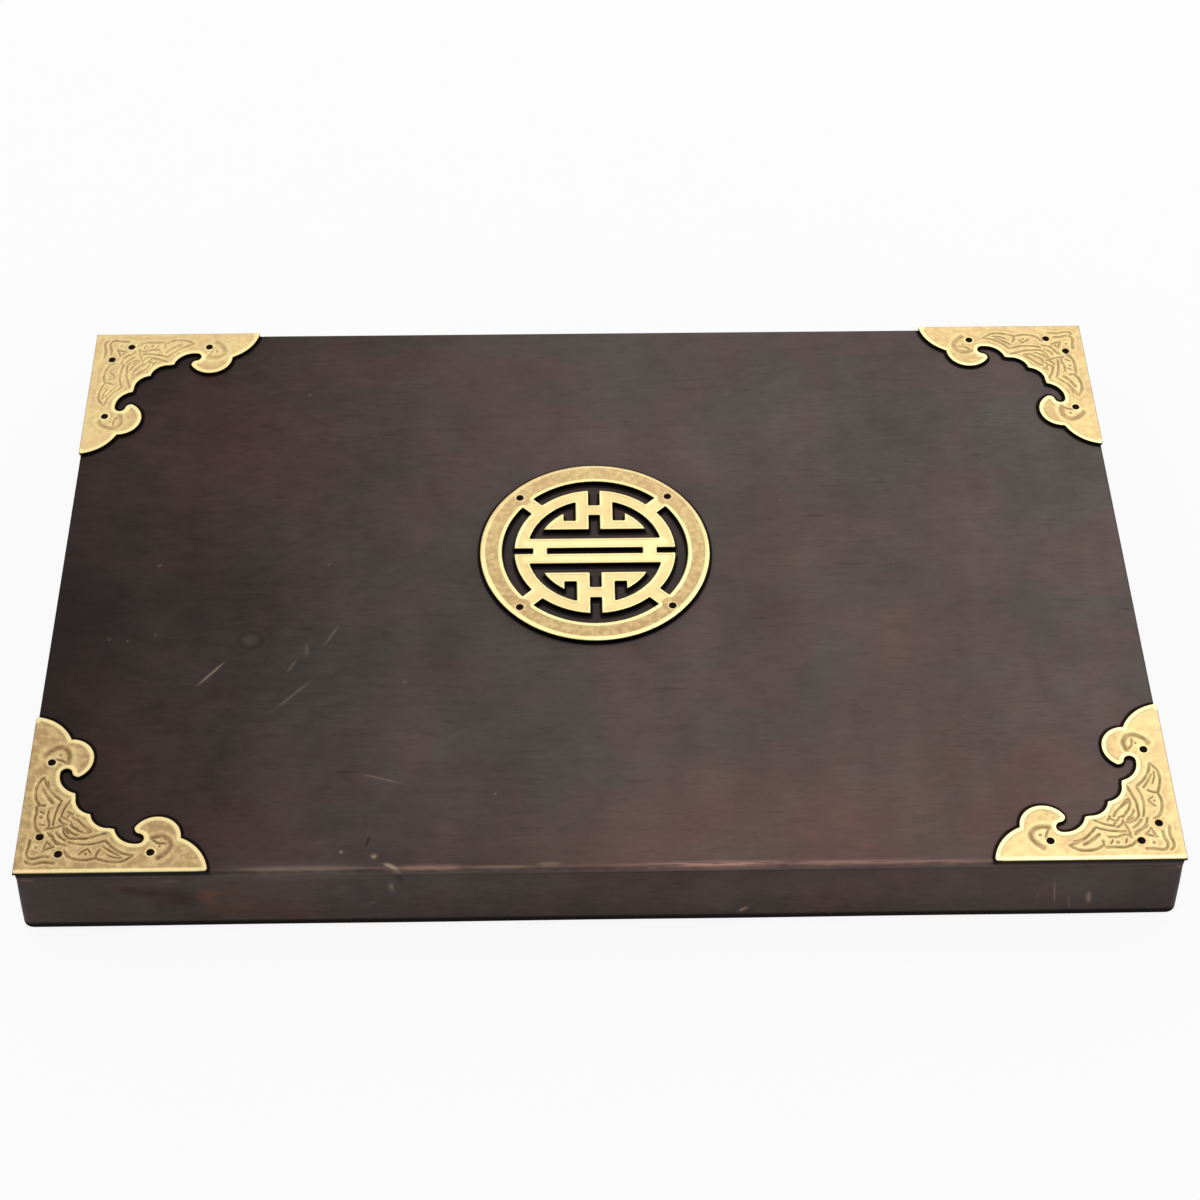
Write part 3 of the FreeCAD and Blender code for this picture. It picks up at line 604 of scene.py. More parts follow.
# Engraved lines of the winged figure: width, then the points that each line runs through.
ENGRAVING = [
    # dotted wing along +Y: outer line in two lobes, then the inner side and its streak
    (0.75, [(7, 15), (5.4, 16.9), (4.6, 19.5), (4.7, 22.5), (4.6, 25.2)]),
    (0.75, [(5.3, 26), (4, 28.2), (3.5, 31), (3.8, 34), (5.4, 36.6)]),
    (0.7, [(5.5, 36.6), (6.6, 34), (8.1, 31.4), (10, 29.4), (12.3, 27.4)]),
    (0.6, [(12.3, 27.4), (11.4, 24.8), (10.7, 21.5), (10.6, 18)]),
    (0.85, [(5.8, 32), (7.4, 29.2), (9.6, 26.6)]), (0.6, [(5, 25.7), (6.8, 25.8)]),
    (0.6, [(8.6, 23.8), (8.5, 21.2), (9.2, 19.2), (9.2, 17.4), (8.2, 16.5)]),
    (0.55, [(8.2, 16.5), (11, 17), (13.2, 17.8), (14.8, 18.5)]),
    # tail feathers between the wings
    (0.6, [(14.9, 27.6), (13.5, 24.4), (12.7, 21.2)]), (0.6, [(12.2, 20.4), (13.4, 18.9), (15, 18.3)]),
    (0.6, [(13.3, 21.4), (14.4, 20.4), (15.5, 19.6)]), (0.65, [(15, 23.1), (16.4, 22.2)]),
    (0.65, [(16.4, 21), (18.6, 19.6), (20.7, 17.6), (23, 15.4), (21.2, 15)]),
    (0.65, [(16.1, 18.2), (17.6, 16.8), (19.4, 15.7), (20.4, 15.3)]),
    (0.6, [(15, 16.8), (16.6, 15.3), (18.5, 14.2)]), (0.7, [(12.1, 15.1), (13.4, 13.5), (15.1, 12.3)]),
    (0.6, [(10.8, 14.2), (11.9, 12.2), (13.7, 10.9), (15.5, 10.4)]),
    (0.65, [(13.9, 16.9), (14.6, 14.8), (16.2, 13.1), (18.6, 12.8)]),
    (0.7, [(19.2, 12.9), (21.6, 12.9), (24.6, 13.8), (27.8, 14.8)]),
    # plainer wing along +X: upper line, tip, scalloped lower line and inner strokes
    (0.6, [(16.3, 11.5), (18.6, 10.9), (21.6, 10.6), (24.6, 10.9), (27.6, 11.9)]),
    (0.7, [(28.2, 11.6), (30.4, 9.3), (33.4, 7.3), (37, 6.2)]),
    (0.7, [(15.3, 8.2), (16.6, 6.3), (19, 5.1), (22.2, 4.7), (25.4, 5.4)]),
    (0.7, [(25.4, 5.4), (27.6, 4.6), (30.6, 3.9), (34, 4.1), (37, 6.2)]),
    (0.65, [(26.3, 8.4), (25.6, 7), (25.5, 5.5)]), (0.6, [(27.6, 9.6), (29.8, 8), (32.6, 6.4)]),
    (0.55, [(20.3, 7.2), (21.4, 8.2), (22.4, 8.8)]),
    # short strokes between the wings and the tail
    (0.5, [(7, 35), (8, 32), (10, 29.5)]), (0.5, [(11.6, 26), (11, 23.5), (10.8, 20.5)]),
    (0.5, [(14.6, 27), (13.4, 24.5), (12.8, 22.2)]), (0.45, [(15.5, 22.5), (14.6, 20.5)]),
    (0.45, [(16, 19.5), (17, 17.5), (18.5, 16.8)]), (0.5, [(18, 20.5), (20, 18), (22.3, 15.2)]),
    (0.45, [(13.9, 18), (14.6, 16.3), (16, 14.8)]),
    (0.45, [(10.2, 15), (11, 13), (12.2, 11.2), (13, 10.6)]), (0.45, [(6, 23.4), (7.4, 22.6)]),
    (0.45, [(6.4, 18.6), (7.6, 18.2)]), (0.45, [(22.8, 8.8), (23.6, 7.6)]),
    (0.45, [(29.4, 6.4), (31.4, 5.6), (33.4, 5.4)]),
    # head in the corner: curls along both edges and the beak between the holes
    (0.75, [(4, 12.4), (3.9, 10), (3.5, 7.4), (4.2, 5.8), (6, 5.4), (8.2, 6.1), (10.6, 6.1)]),
    (0.75, [(3.5, 4.6), (4.8, 3.5), (6.6, 3.5), (9, 4.1), (12.4, 3.7)]), (0.65, [(9.4, 12), (8.5, 8.5)]),
    (0.65, [(8.5, 8.5), (11.8, 9.9)]), (0.55, [(9.6, 11.6), (10.8, 10.4)]),
    (0.55, [(9.3, 15.2), (10.2, 13.9)]),
]
ENGRAVED_DOTS = [
    ((7, 25.8), 0.75), ((6.4, 21.2), 0.75), ((6.2, 9.7), 0.65), ((25.8, 7.3), 0.6), ((22.2, 7), 0.55),
    ((9.6, 45.5), 0.6), ((45.2, 9.6), 0.55),
]
# Thick curls round the outer holes, and the soft creases that run in from the cusps.
CURLS = [
    (1.35, [(4.6, 45), (6.8, 47.4), (9.6, 48.5), (11.8, 47.2), (12.7, 44.6), (12.4, 42.4)]),
    (1.25, [(45, 5.2), (47, 6.6), (48.5, 9.4), (48, 12), (45.4, 13.5), (42.6, 12.8)]),
    (0.6, [(8.2, 43.9), (10.2, 43.4), (11.9, 42.5)]), (0.6, [(43, 12), (44.6, 10.8), (46.6, 10.6)]),
]
CREASES = [[(51.6, 12.4), (49.6, 11.8)], [(12.4, 51.6), (11.8, 49.6)]]
LOBES = [(43.6, 15.2), (15.2, 43.6)]

OUTLINE_STEP = 0.3
CURVE_STEP = OUTLINE_STEP * 1.5
STROKE_SHARE = 1.05
ENGRAVED_DEPTH = 0.24
CREASE_DEPTH = 0.10
BRINK_ROUND = 0.25
BEAD = 1.55
BEAD_DROP = 0.17
PLATE_SHINE = (0.35, 0.35, 0.85, 0.85)
# How dull each plate has gone, how crisp its lines still look and how dark they are.
PLATE_AGE = {"front_left": (0.80, 0.70, 1.0), "front_right": (0.0, 1.8, 0.90),
             "back_right": (0.24, 0.62, 0.42), "back_left": (0.06, 0.62, 0.42)}
# Width of the painted highlight along the front edge of the front plates.
FRONT_HIGHLIGHT = 1.5
# Distances from an outline, from a hole and from an engraved line at which a mesh has points.
BRASS_ROWS = (0.12, 0.30, 0.62, 0.98, 1.30, 1.52, 1.74, 1.96, 2.3)
HALO_ROWS = (0.12, 0.30, 0.6, 0.9, 1.2)
GROOVE_ROWS = (0.17, 0.34, 0.55, 0.8)


def plate_scallop():
    """Scalloped side of a corner plate, from one arm's tip to the other's."""
    start, half = np.array(TIP_START) * PLATE_ARM, []
    for step in HALF_OUTLINE:
        stops = np.array(step) * PLATE_ARM
        half.append(arc(start, *stops, OUTLINE_STEP) if len(stops) == 2
                    else straight(start, *stops, OUTLINE_STEP))
        start = stops[-1]
    half = np.vstack(half)
    return np.vstack([half, [start], flipped(half)])


def plate_outline():
    """Closed outline of a corner plate, anticlockwise from its apex."""
    scallop = plate_scallop()
    side = straight((0.0, 0.0), scallop[0], OUTLINE_STEP * 3)
    return np.vstack([side, scallop, flipped(side)[:-1]])


def engrave(relief, strokes, depth):
    """Cut strokes into a relief, each with a low shoulder to both sides, and tell what is near them."""
    groove, shoulder, surround = np.zeros((3, len(relief.points)))
    for width, path in strokes:
        width *= STROKE_SHARE
        distance = (path_distance if len(path) > 1 else distance_to)(relief.points, path)
        groove = np.maximum(groove, bell(distance, width * 0.5))
        shoulder = np.maximum(shoulder, bell(distance - width * 1.05, width * 0.5))
        surround = np.maximum(surround, bell(distance, 2.6))
    shoulder *= 1 - groove
    relief.height += -depth * groove + depth * 0.3 * shoulder
    relief.marks["groove"] = groove
    # The shoulders take the rim's bright colour: a painted highlight along the ridges.
    relief.lift("rim", 0.40 * shoulder)
    return surround


def finish_holes(relief, centers, field, shine):
    """Raise a low ring round each hole, rubbed as bright as its shine says."""
    for center, bright in zip(centers, shine):
        distance = distance_to(relief.points, center)
        ring = smoothstep(HOLE_RADIUS + 0.9, HOLE_RADIUS + 0.4, distance)
        relief.height += ring * field * 0.7
        relief.height -= np.clip(HOLE_RADIUS + 0.22 - distance, 0, 0.22) * 0.8
        relief.lift("rim", ring * bright)


def plate_relief():
    """Upper face of a corner plate: beaded scallop, engraved figure and ringed holes."""
    centers = np.array(PLATE_PINS) * PLATE_ARM
    holes = [ring_of(center, HOLE_RADIUS, 32) for center in centers]
    lines = [(width, smooth(points, OUTLINE_STEP)) for width, points in ENGRAVING + CURLS]
    dots = [(radius * 1.3, np.array([center])) for center, radius in ENGRAVED_DOTS]
    rings = [ring_of(center, radius * 0.6, 10) for center, radius in ENGRAVED_DOTS]
    creases = [smooth(points, OUTLINE_STEP) for points in CREASES]
    paths = [path for _, path in lines] + rings + creases
    relief = Relief([plate_outline()], holes, PLATE_THICKNESS, BRASS_ROWS, paths, GROOVE_ROWS,
                    reach=1.1, coarse=0.9, ratio=3)
    x, y = relief.points.T
    sunk = smoothstep(BEAD * 0.80, BEAD * 1.30, path_distance(relief.points, plate_scallop()))
    relief.height += brink_profile(relief.edge, BRINK_ROUND) - BEAD_DROP * sunk
    relief.height += 0.03 * np.sin(x * 0.31 + 0.8) * np.cos(y * 0.27) * smoothstep(1.8, 4, relief.edge)
    relief.marks["rim"] = 1 - sunk
    finish_holes(relief, centers, BEAD_DROP, PLATE_SHINE)
    relief.marks["patina"] = 0.36 * engrave(relief, lines + dots, ENGRAVED_DEPTH)
    for center in LOBES:
        relief.lift("patina", 0.32 * smoothstep(7.5, 5.0, distance_to(relief.points, center)))
    for crease in creases:
        away = path_distance(relief.points, crease)
        relief.height -= CREASE_DEPTH * bell(away, 1.0)
        relief.lift("patina", 0.6 * bell(away, 1.1))
    return relief


def place_relief(name, relief, origin, turn, front_highlight=0.0, age=(0.0, 1.0, 1.0)):
    """Set a relief down on the lid as a finished brass piece.

    A painted highlight raises the rim at each point of the upper face by the given amount. age is how dull
    the brass has gone, how crisp its lines still look and how dark they are.
    """
    dullness, crispness, darkness = age
    points, faces = relief.solid()
    points[:, :2] = turned(points[:, :2], turn)
    marks, upper = relief.spread_marks(len(points)), len(relief.points)
    marks["rim"][:upper] = np.maximum(marks["rim"][:upper], front_highlight)
    marks["groove"] = darkness * marks["groove"] ** crispness
    marks["rim"] *= 1 - 0.45 * dullness
    marks["patina"] = (marks["patina"] * (1 - dullness) + dullness) * (1 - marks["rim"])
    brink = np.minimum(relief.edge, loop_distance(relief.points, relief.holes))
    # Walls and underside near black: tarnish, and painted shade on the walls.
    marks["wall"] = np.ones(len(points))
    marks["wall"][:upper] = 1 - smoothstep(0.0, 0.26, brink)
    piece = make_object(name, points + origin, faces, BRASS, "lid", marks, crease=48)
    return piece


# ---- pins

HEAD_RECESS = 0.45
PIN_SIDES = 20
# Radius and height of the pin's profile, from the middle of its hollow head down.
PIN_PROFILE = [(0.0, -0.22), (0.45, -0.20), (0.78, -0.08), (0.95, 0.0), (1.05, -0.03),
               (PIN_HEAD / 2, -0.12), (PIN_SHANK / 2, -0.62), (PIN_SHANK / 2, 0.9 - PIN_LENGTH),
               (0.0, -PIN_LENGTH)]


def pins(name, centers, top):
    """Pins with hollow heads, sunk a little into their plate, as one piece."""
    points, faces, rings = [], [], PIN_PROFILE[1:-1]
    for center in centers:
        first = len(points)
        for radius, height in rings:
            circle = ring_of(center, radius, PIN_SIDES, clockwise=False)
            points += [(x, y, top - HEAD_RECESS + height) for x, y in circle]
        faces += tube(PIN_SIDES, len(rings), first, flip=True)
        ends = ((PIN_PROFILE[0], first, 1), (PIN_PROFILE[-1], len(points) - PIN_SIDES, -1))
        for (_, height), ring, order in ends:
            faces += [(len(points), ring + side, ring + (side + 1) % PIN_SIDES)[::order]
                      for side in range(PIN_SIDES)]
            points.append((*center, top - HEAD_RECESS + height))
    piece = make_object(name, points, faces, STEEL, "lid", crease=60)
    return piece


def plate_apex(corner):
    """Where a plate's apex lies on the lid."""
    sign_x, sign_y = (-1 if corner.endswith("left") else 1), (-1 if corner.startswith("front") else 1)
    return np.array([sign_x * (BOX_HALF_LENGTH + PLATE_OVERHANG),
                     sign_y * (BOX_HALF_DEPTH + PLATE_OVERHANG), BOX_HEIGHT])


def dress_corners():
    """Four engraved plates, with a painted highlight along the lid's front, and their pins."""
    relief = plate_relief()
    for corner, turn in CORNER_TURNS.items():
        apex, front_highlight = plate_apex(corner), 0.0
        # The front plates get a painted highlight along their front edge.
        if corner.startswith("front"):
            from_front = relief.points[:, 1] if corner == "front_left" else relief.points[:, 0]
            front_highlight = smoothstep(FRONT_HIGHLIGHT * 1.1, FRONT_HIGHLIGHT * 0.85, from_front)
        plate = place_relief(f"engraved_plate_{corner}", relief, apex, turn, front_highlight, PLATE_AGE[corner])
        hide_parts(f"corner_plate_{corner}")
        centers = turned(np.array(PLATE_PINS) * PLATE_ARM, turn) + apex[:2]
        heads = pins(f"plate_pins_{corner}", centers, BOX_HEIGHT + PLATE_THICKNESS)
        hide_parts(f"corner_pins_{corner}")


# ---- brass roundel

# Edges of the character's strokes, from its centre lines, in shares of its disc's radius.
BAND_INNER = 0.833
FIN_RADIUS = 0.726
GAP_HALF = 0.046
GAP_END = 0.591
SIDE_SLOT_START = 0.769
SIDE_SLOT_HALF = 0.043
BAR_TOP = 0.203
FOOT_BOTTOM = 0.349
FOOT_TOP = 0.495
CROSSBAR_BOTTOM = 0.584
CROSSBAR_TOP = 0.751
SLOT_HALF = 0.069
UPRIGHT_OUTER = 0.235
NOTCH_OUTER = 0.381
STROKE_CORNER = 0.35
RING_DROP = 0.16
ROUNDEL_ROWS = (0.12, 0.30, 0.55, 0.80, 1.02, 1.22, 1.42, 1.66, 1.90, 2.15)


def polar(radius, angle):
    """Point at a radius and an angle."""
    return radius * np.array([math.cos(angle), math.sin(angle)])


def window(start, end, slot_half, slot_floor):
    """Gap between ring and disc from one bridge to the next, with a slot in the disc's rim.

    It is drawn about the +Y axis: start and end are the bridges' angles, and the slot
    runs in to slot_floor.
    """
    up, outer_shift, inner_shift, slot_shift = math.pi / 2, *(
        math.asin(half / radius) for half, radius in (
            (BRIDGE_WIDTH / 2, RING_INNER), (BRIDGE_WIDTH / 2, DISC_RADIUS), (slot_half, DISC_RADIUS)))
    slot_top = DISC_RADIUS * math.cos(slot_shift)
    slot = [(slot_half, slot_top), (slot_half, slot_floor), (-slot_half, slot_floor), (-slot_half, slot_top)]
    outer = turn_arc((0, 0), RING_INNER, end - outer_shift, start + outer_shift, CURVE_STEP)
    first, last = start + inner_shift, end - inner_shift
    return np.vstack([
        outer,
        straight(polar(RING_INNER, start + outer_shift), polar(DISC_RADIUS, first), CURVE_STEP),
        turn_arc((0, 0), DISC_RADIUS, first, up - slot_shift, CURVE_STEP),
        corners_path(slot, CURVE_STEP),
        turn_arc((0, 0), DISC_RADIUS, up + slot_shift, last, CURVE_STEP),
        straight(polar(DISC_RADIUS, last), outer[0], CURVE_STEP)])


def character_opening():
    """Opening in the upper half of the character, clockwise about the material."""
    step = CURVE_STEP / DISC_RADIUS

    def leg(radius, other):
        return math.sqrt(radius ** 2 - other ** 2)

    def bend(radius, start, end):
        return turn_arc((0, 0), radius, math.atan2(*start[::-1]), math.atan2(*end[::-1]), step)

    band_low = leg(BAND_INNER, BAR_TOP), BAR_TOP
    band_high = UPRIGHT_OUTER, leg(BAND_INNER, UPRIGHT_OUTER)
    fin_high = NOTCH_OUTER, leg(FIN_RADIUS, NOTCH_OUTER)
    fin_low = leg(FIN_RADIUS, FOOT_BOTTOM), FOOT_BOTTOM
    right = np.vstack([
        straight((0.0, BAR_TOP), band_low, step),
        bend(BAND_INNER, band_low, band_high),
        corners_path([band_high, (UPRIGHT_OUTER, FOOT_TOP), (NOTCH_OUTER, FOOT_TOP), fin_high], step),
        bend(FIN_RADIUS, fin_high, fin_low),
        corners_path([fin_low, (SLOT_HALF, FOOT_BOTTOM), (SLOT_HALF, CROSSBAR_BOTTOM),
                      (0.0, CROSSBAR_BOTTOM)], step)])
    loop = np.vstack([right, [(0.0, CROSSBAR_BOTTOM)], right[1:][::-1] * (-1, 1)]) * DISC_RADIUS
    return loop[::-1]


def roundel_loops():
    """Outline of the roundel and all its openings."""
    top = window(BRIDGE_ANGLE, math.pi - BRIDGE_ANGLE, SLOT_HALF * DISC_RADIUS, CROSSBAR_TOP * DISC_RADIUS)
    side = window(math.pi / 2 - BRIDGE_ANGLE, math.pi / 2 + BRIDGE_ANGLE,
                  SIDE_SLOT_HALF * DISC_RADIUS, SIDE_SLOT_START * DISC_RADIUS)
    opening = character_opening()
    gap = corners_path([(-GAP_END, -GAP_HALF), (-GAP_END, GAP_HALF), (GAP_END, GAP_HALF),
                        (GAP_END, -GAP_HALF), (-GAP_END, -GAP_HALF)], CURVE_STEP / DISC_RADIUS) * DISC_RADIUS
    openings = [top, turned(top, 180), turned(side, 90), turned(side, -90),
                opening, turned(opening, 180), gap]
    outer = ring_of((0, 0), ROUNDEL_RADIUS, 560, clockwise=False)
    return [outer] + [soften(loop, STROKE_CORNER) for loop in openings]


def dress_roundel():
    """Openwork roundel with bright beads round a matt ring and a two-toned character, and its pins."""
    centers = PIN_CIRCLE * np.array([(x * math.cos(BRIDGE_ANGLE), y * math.sin(BRIDGE_ANGLE))
                                     for x in (1, -1) for y in (1, -1)])
    holes = [ring_of(center, HOLE_RADIUS, 32) for center in centers]
    relief = Relief(roundel_loops(), holes, ROUNDEL_THICKNESS, ROUNDEL_ROWS, [], GROOVE_ROWS,
                    reach=1.0, coarse=0.8, ratio=2)
    radius = distance_to(relief.points, (0, 0))
    on_ring = smoothstep(RING_INNER - 0.6, RING_INNER + 0.2, radius)
    outermost = smoothstep(ROUNDEL_RADIUS - 3.2, ROUNDEL_RADIUS - 2.4, radius)
    to_back = smoothstep(-30, 30, relief.points[:, 1])
    bead = 0.85 + 0.45 * on_ring + 0.4 * outermost * (1 - to_back)
    sunk = smoothstep(bead * 0.88, bead * 1.28, relief.edge)
    relief.height += brink_profile(relief.edge, BRINK_ROUND) - RING_DROP * sunk
    bars = (np.abs(relief.points[:, 1]) < BAR_TOP * DISC_RADIUS) & (radius < DISC_RADIUS * 0.9)
    # The rim's bright colour fades towards the back of the outer rim: a painted highlight along the front of
    # the ring.
    relief.marks["rim"] = (1 - sunk * (1 - 0.35 * (1 - on_ring))) * (1 - 0.65 * outermost * to_back)
    relief.lift("rim", 0.85 * bars)
    relief.marks["patina"] = 0.12 + (0.60 - 0.18 * to_back) * on_ring
    relief.marks["groove"] = np.zeros(len(radius))
    finish_holes(relief, centers, 0.10, (0.4,) * 4)
    origin = np.array([0.0, ROUNDEL_SETBACK, BOX_HEIGHT])
    piece = place_relief("openwork_roundel", relief, origin, 0)
    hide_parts("roundel")
    heads = pins("roundel_heads", centers + origin[:2], BOX_HEIGHT + ROUNDEL_THICKNESS)
    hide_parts("roundel_pins")


# ---- lid board

# Marks on the top: pale scratches and dark hairlines (points, width, strength), pale specks
# (place, radius, strength), and patches of stain (place, spread, tone, redness). The wide scratch
# and the last patch along the front edge are a painted highlight.
SCRATCHES = [
    ([(-134.5, -46.9), (-124.3, -35)], 0.38, 0.5), ([(-108.5, -57.6), (-94.5, -43)], 0.36, 0.2),
    ([(-104.2, -41), (-100.8, -35)], 0.36, 0.18), ([(-98, -28.3), (-97.8, -33.9)], 0.7, 0.13),
    ([(-92.7, -30.3), (-87, -19.8)], 0.36, 0.2),
    ([(-79.4, -82.1), (-72.8, -84), (-62.9, -86.9)], 0.36, 0.22),
    ([(-69.4, -117.2), (-66.6, -118.2), (-64.6, -119.6), (-63.9, -120.8)], 0.6, 0.85),
    # The first mark on this line, along the front edge, is a painted highlight.
    ([(-121, -118.7), (-94, -118.7), (-69, -118.6)], 0.9, 0.2), ([(-44, -119), (-19, -119.1)], 0.4, 0.3),
    ([(-21, -118.2), (-12, -118.2)], 0.7, 0.24),
]
HAIRLINES = [
    ([(-87.2, -81.4), (-79.4, -82.1)], 0.4, 0.45), ([(-102.8, -22.1), (-94.8, -22.2)], 0.35, 0.4),
    ([(-74.4, -24.3), (-68.1, -24.4)], 0.35, 0.35), ([(-66, -5.8), (-59.6, -5.9)], 0.35, 0.35),
    ([(-130.1, -65.3), (-125.7, -64.5)], 0.35, 0.4), ([(99, 42.3), (105.1, 42.2)], 0.35, 0.4),
    ([(72.8, 26.5), (82, 26.5)], 0.35, 0.35), ([(52.4, -19.6), (59.2, -19.7)], 0.35, 0.35),
    ([(179.5, -17.4), (183.9, -17.5)], 0.35, 0.35), ([(-122.6, 72.4), (-115.4, 72.3)], 0.35, 0.35),
    ([(-114.9, 38.1), (-107.8, 37.5)], 0.35, 0.3), ([(-73.5, -106.5), (-74.9, -111.2)], 0.45, 0.65),
]
SPECKS = [
    ((-150.9, 6.8), 0.42, 0.36), ((-92.4, 6.4), 0.38, 0.26), ((-164.8, -25.8), 0.45, 0.2),
    ((-158.7, -26.5), 0.4, 0.18), ((-149.5, -24.1), 0.4, 0.18), ((-64.4, -45.4), 0.42, 0.32),
    ((-82.4, -112.7), 0.5, 0.6), ((-72, -114.5), 0.75, 0.75), ((-33.8, -91), 0.4, 0.28),
    ((-103.6, 88.3), 0.42, 0.34), ((66.2, 34.1), 0.4, 0.14), ((103.7, 5), 0.4, 0.14),
    ((87.7, -58), 0.4, 0.14), ((121.1, -61.8), 0.4, 0.14), ((68.2, -70.4), 0.4, 0.14),
]
STAINS = [
    ((-175, 55), (22, 30), 0.03, 0), ((-175, -20), (18, 24), -0.02, 0), ((-75, -20), (30, 60), 0.03, 0),
    ((-50, -35), (7, 16), -0.05, 0), ((100, 2), (14, 12), -0.06, 0), ((60, -20), (16, 8), -0.04, 0),
    ((-130, 75), (38, 42), 0, 0.42), ((-62, 85), (22, 40), 0, 0.14), ((-110, -30), (80, 35), 0, -0.1),
    ((-75, -60), (60, 40), 0, -0.08), ((55, 25), (14, 40), 0, 0.14), ((100, -15), (12, 35), 0, 0.18),
    ((70, -108), (50, 20), 0, 0.62), ((140, -88), (26, 22), 0, 0.42), ((-30, -115), (60, 10), 0, 0.25),
    ((-118, -104), (20, 13), 0, 0.34), ((-150, -90), (14, 30), 0, 0.22), ((70, 95), (70, 30), 0, -0.04),
    ((-165, -45), (28, 45), 0, 0.26), ((-112, -78), (24, 24), 0, 0.26), ((-80, -111), (14, 8), 0, -0.3),
    ((-47, -100), (20, 16), 0, 0.28), ((58, -45), (18, 60), -0.05, 0), ((24, 95), (22, 22), -0.03, 0),
    ((-118, -5), (22, 14), -0.06, 0), ((150, 80), (40, 35), 0, -0.1),
    # A painted highlight along the front edge.
    ((-94, -119.2), (22, 1.8), 0.12, -0.25),
]
SCRATCH_DEPTH = 0.20
HAIRLINE_DEPTH = 0.25
KNOT = (-117.3, -26.7)
KNOT_DEPTH = 0.06
KNOT_DARK = 0.26
KNOT_PALE = 0.08
# How dark the painted shade on the board's brink is, and on its front one under the plates.
BRINK_SHADE = 0.30
PLATE_SHADE = 0.85
# Distances from the board's outline and from a mark at which its mesh has points.
BOARD_ROWS = (0.2, 0.45, 0.8, 1.2, 2.2, 3.4)
MARK_ROWS = (0.2, 0.45, 0.8, 1.1, 1.4)
MARK_STEP = 0.5
# Faint dark dashes along the grain: how many, their length, width and strength.
DASH_SEED = 11
DASH_COUNT = 34
DASH_LENGTH = (4.0, 13.0)
DASH_WIDTH = 0.32
DASH_STRENGTH = (0.10, 0.28)
# Grime and painted shade gather on the wood round the brass, wider at the back than at the front.
SHADE_GRIME_FRONT = 0.85
SHADE_GRIME_BACK = 1.15
SHADE_GRIME_FADE = 0.3
SHADE_GRIME_SHIFTS = (0.0, 0.5, 1.0)
SHADE_GRIME_DARK = 0.92
# Painted shade on the wood in the roundel's openings, and a painted shadow under the front of its strokes:
# how dark each is, and how far the shadow is shifted forward.
OPENING_SHADE = 0.34
STROKE_SHADOW = 0.90
STROKE_SHADOW_SHIFT = 0.5
# How far the front edge is rubbed bare, with a painted highlight on the rubbed brink, by X.
FRONT_WEAR_AND_HIGHLIGHT = [
    (-128, 0), (-115, 0.1), (-90, 0.12), (-68, 0.2), (-60, 0.6), (-48, 0.55), (-42, 0.2), (0, 0.14),
    (12, 0.35), (28, 0.85), (42, 1), (55, 0.75), (80, 0.6), (110, 0.5), (124, 0.3), (136, 0),
]


def stain_and_sheen_marks(points):
    """Tone and redness of the stain over the top, darkest at the left end; the rise in tone from the left end
    to the right is a painted sheen.
    """
    x = points[:, 0]
    # The rise from the left end to the right is painted light, the sheen of the lamps; the patches below are
    # stain.
    tone = 0.04 + 0.33 * smoothstep(-215, 50, x) + 0.06 * smoothstep(100, 185, x)
    red = np.full(len(points), 0.15)
    for center, spread_by, tone_change, red_change in STAINS:
        patch = np.exp(-(((points - center) / spread_by) ** 2).sum(1))
        tone += tone_change * patch
        red += red_change * patch
    return tone, red


def stroke(points, path, width):
    """Mask of a stroke that tapers off towards both ends of its path."""
    reach = np.minimum(distance_to(points, path[0]), distance_to(points, path[-1]))
    taper = smoothstep(-0.4, 0.35 * np.linalg.norm(path[-1] - path[0]), reach)
    return taper * bell(path_distance(points, path), width * (0.35 + 0.65 * taper))


def grain_dashes():
    """Dark dashes scattered over the top, clear of the brass."""
    rng, dashes = np.random.default_rng(DASH_SEED), []
    while len(dashes) < DASH_COUNT:
        x, y = rng.uniform(-165, 150), rng.uniform(-100, 110)
        half, slope = rng.uniform(*DASH_LENGTH) / 2, rng.uniform(-0.2, 0.2)
        strength = rng.uniform(*DASH_STRENGTH)
        on_roundel = math.hypot(x, y - ROUNDEL_SETBACK) < ROUNDEL_RADIUS + 8
        on_plate = abs(x) > BOX_HALF_LENGTH - PLATE_ARM - 8 and abs(y) > BOX_HALF_DEPTH - PLATE_ARM - 3
        if not (on_roundel or on_plate):
            dashes.append(([(x - half, y - slope), (x + half, y + slope)], DASH_WIDTH, strength))
    return dashes


def board_outline():
    """Closed outline of the lid board, with small rounds at its corners."""
    arcs = [turn_arc((x * (BOX_HALF_LENGTH - PANEL_ROUND), y * (BOX_HALF_DEPTH - PANEL_ROUND)), PANEL_ROUND,
                     math.radians(start), math.radians(start + 90), 0.4)
            for x, y, start in ((1, 1, 0), (-1, 1, 90), (-1, -1, 180), (1, -1, 270))]
    return np.vstack([np.vstack([part, straight(part[-1], following[0], 1.5)[1:]])
                      for part, following in zip(arcs, arcs[1:] + arcs[:1])])


def brass_edges():
    """Where the edges of the plates and of the roundel lie on the board."""
    edges = [turned(plate_scallop()[::2], turn) + plate_apex(corner)[:2]
             for corner, turn in CORNER_TURNS.items()]
    return edges + [ring_of((0, ROUNDEL_SETBACK), ROUNDEL_RADIUS, 360)]


def press_marks(relief, scratches, hairlines):
    """Press scratches, hairlines, specks and the knot's rings into the board."""
    points = relief.points
    for name, depth, lines in (("scar", SCRATCH_DEPTH, scratches), ("dark", HAIRLINE_DEPTH, hairlines)):
        for path, width, strength in lines:
            relief.press(name, depth, strength * stroke(points, path, width))
    for center, radius, strength in SPECKS:
        relief.press("scar", SCRATCH_DEPTH, strength * bell(distance_to(points, center), radius))
    away = distance_to((points - KNOT) * (0.9, 1.0), 0.0)
    rings = bell(away - 3.5, 0.9) + 0.4 * bell(away - 6.4, 0.8)
    relief.height -= KNOT_DEPTH * rings
    relief.lift("dark", KNOT_DARK * rings)
    relief.lift("scar", KNOT_PALE * bell(away, 1.8))


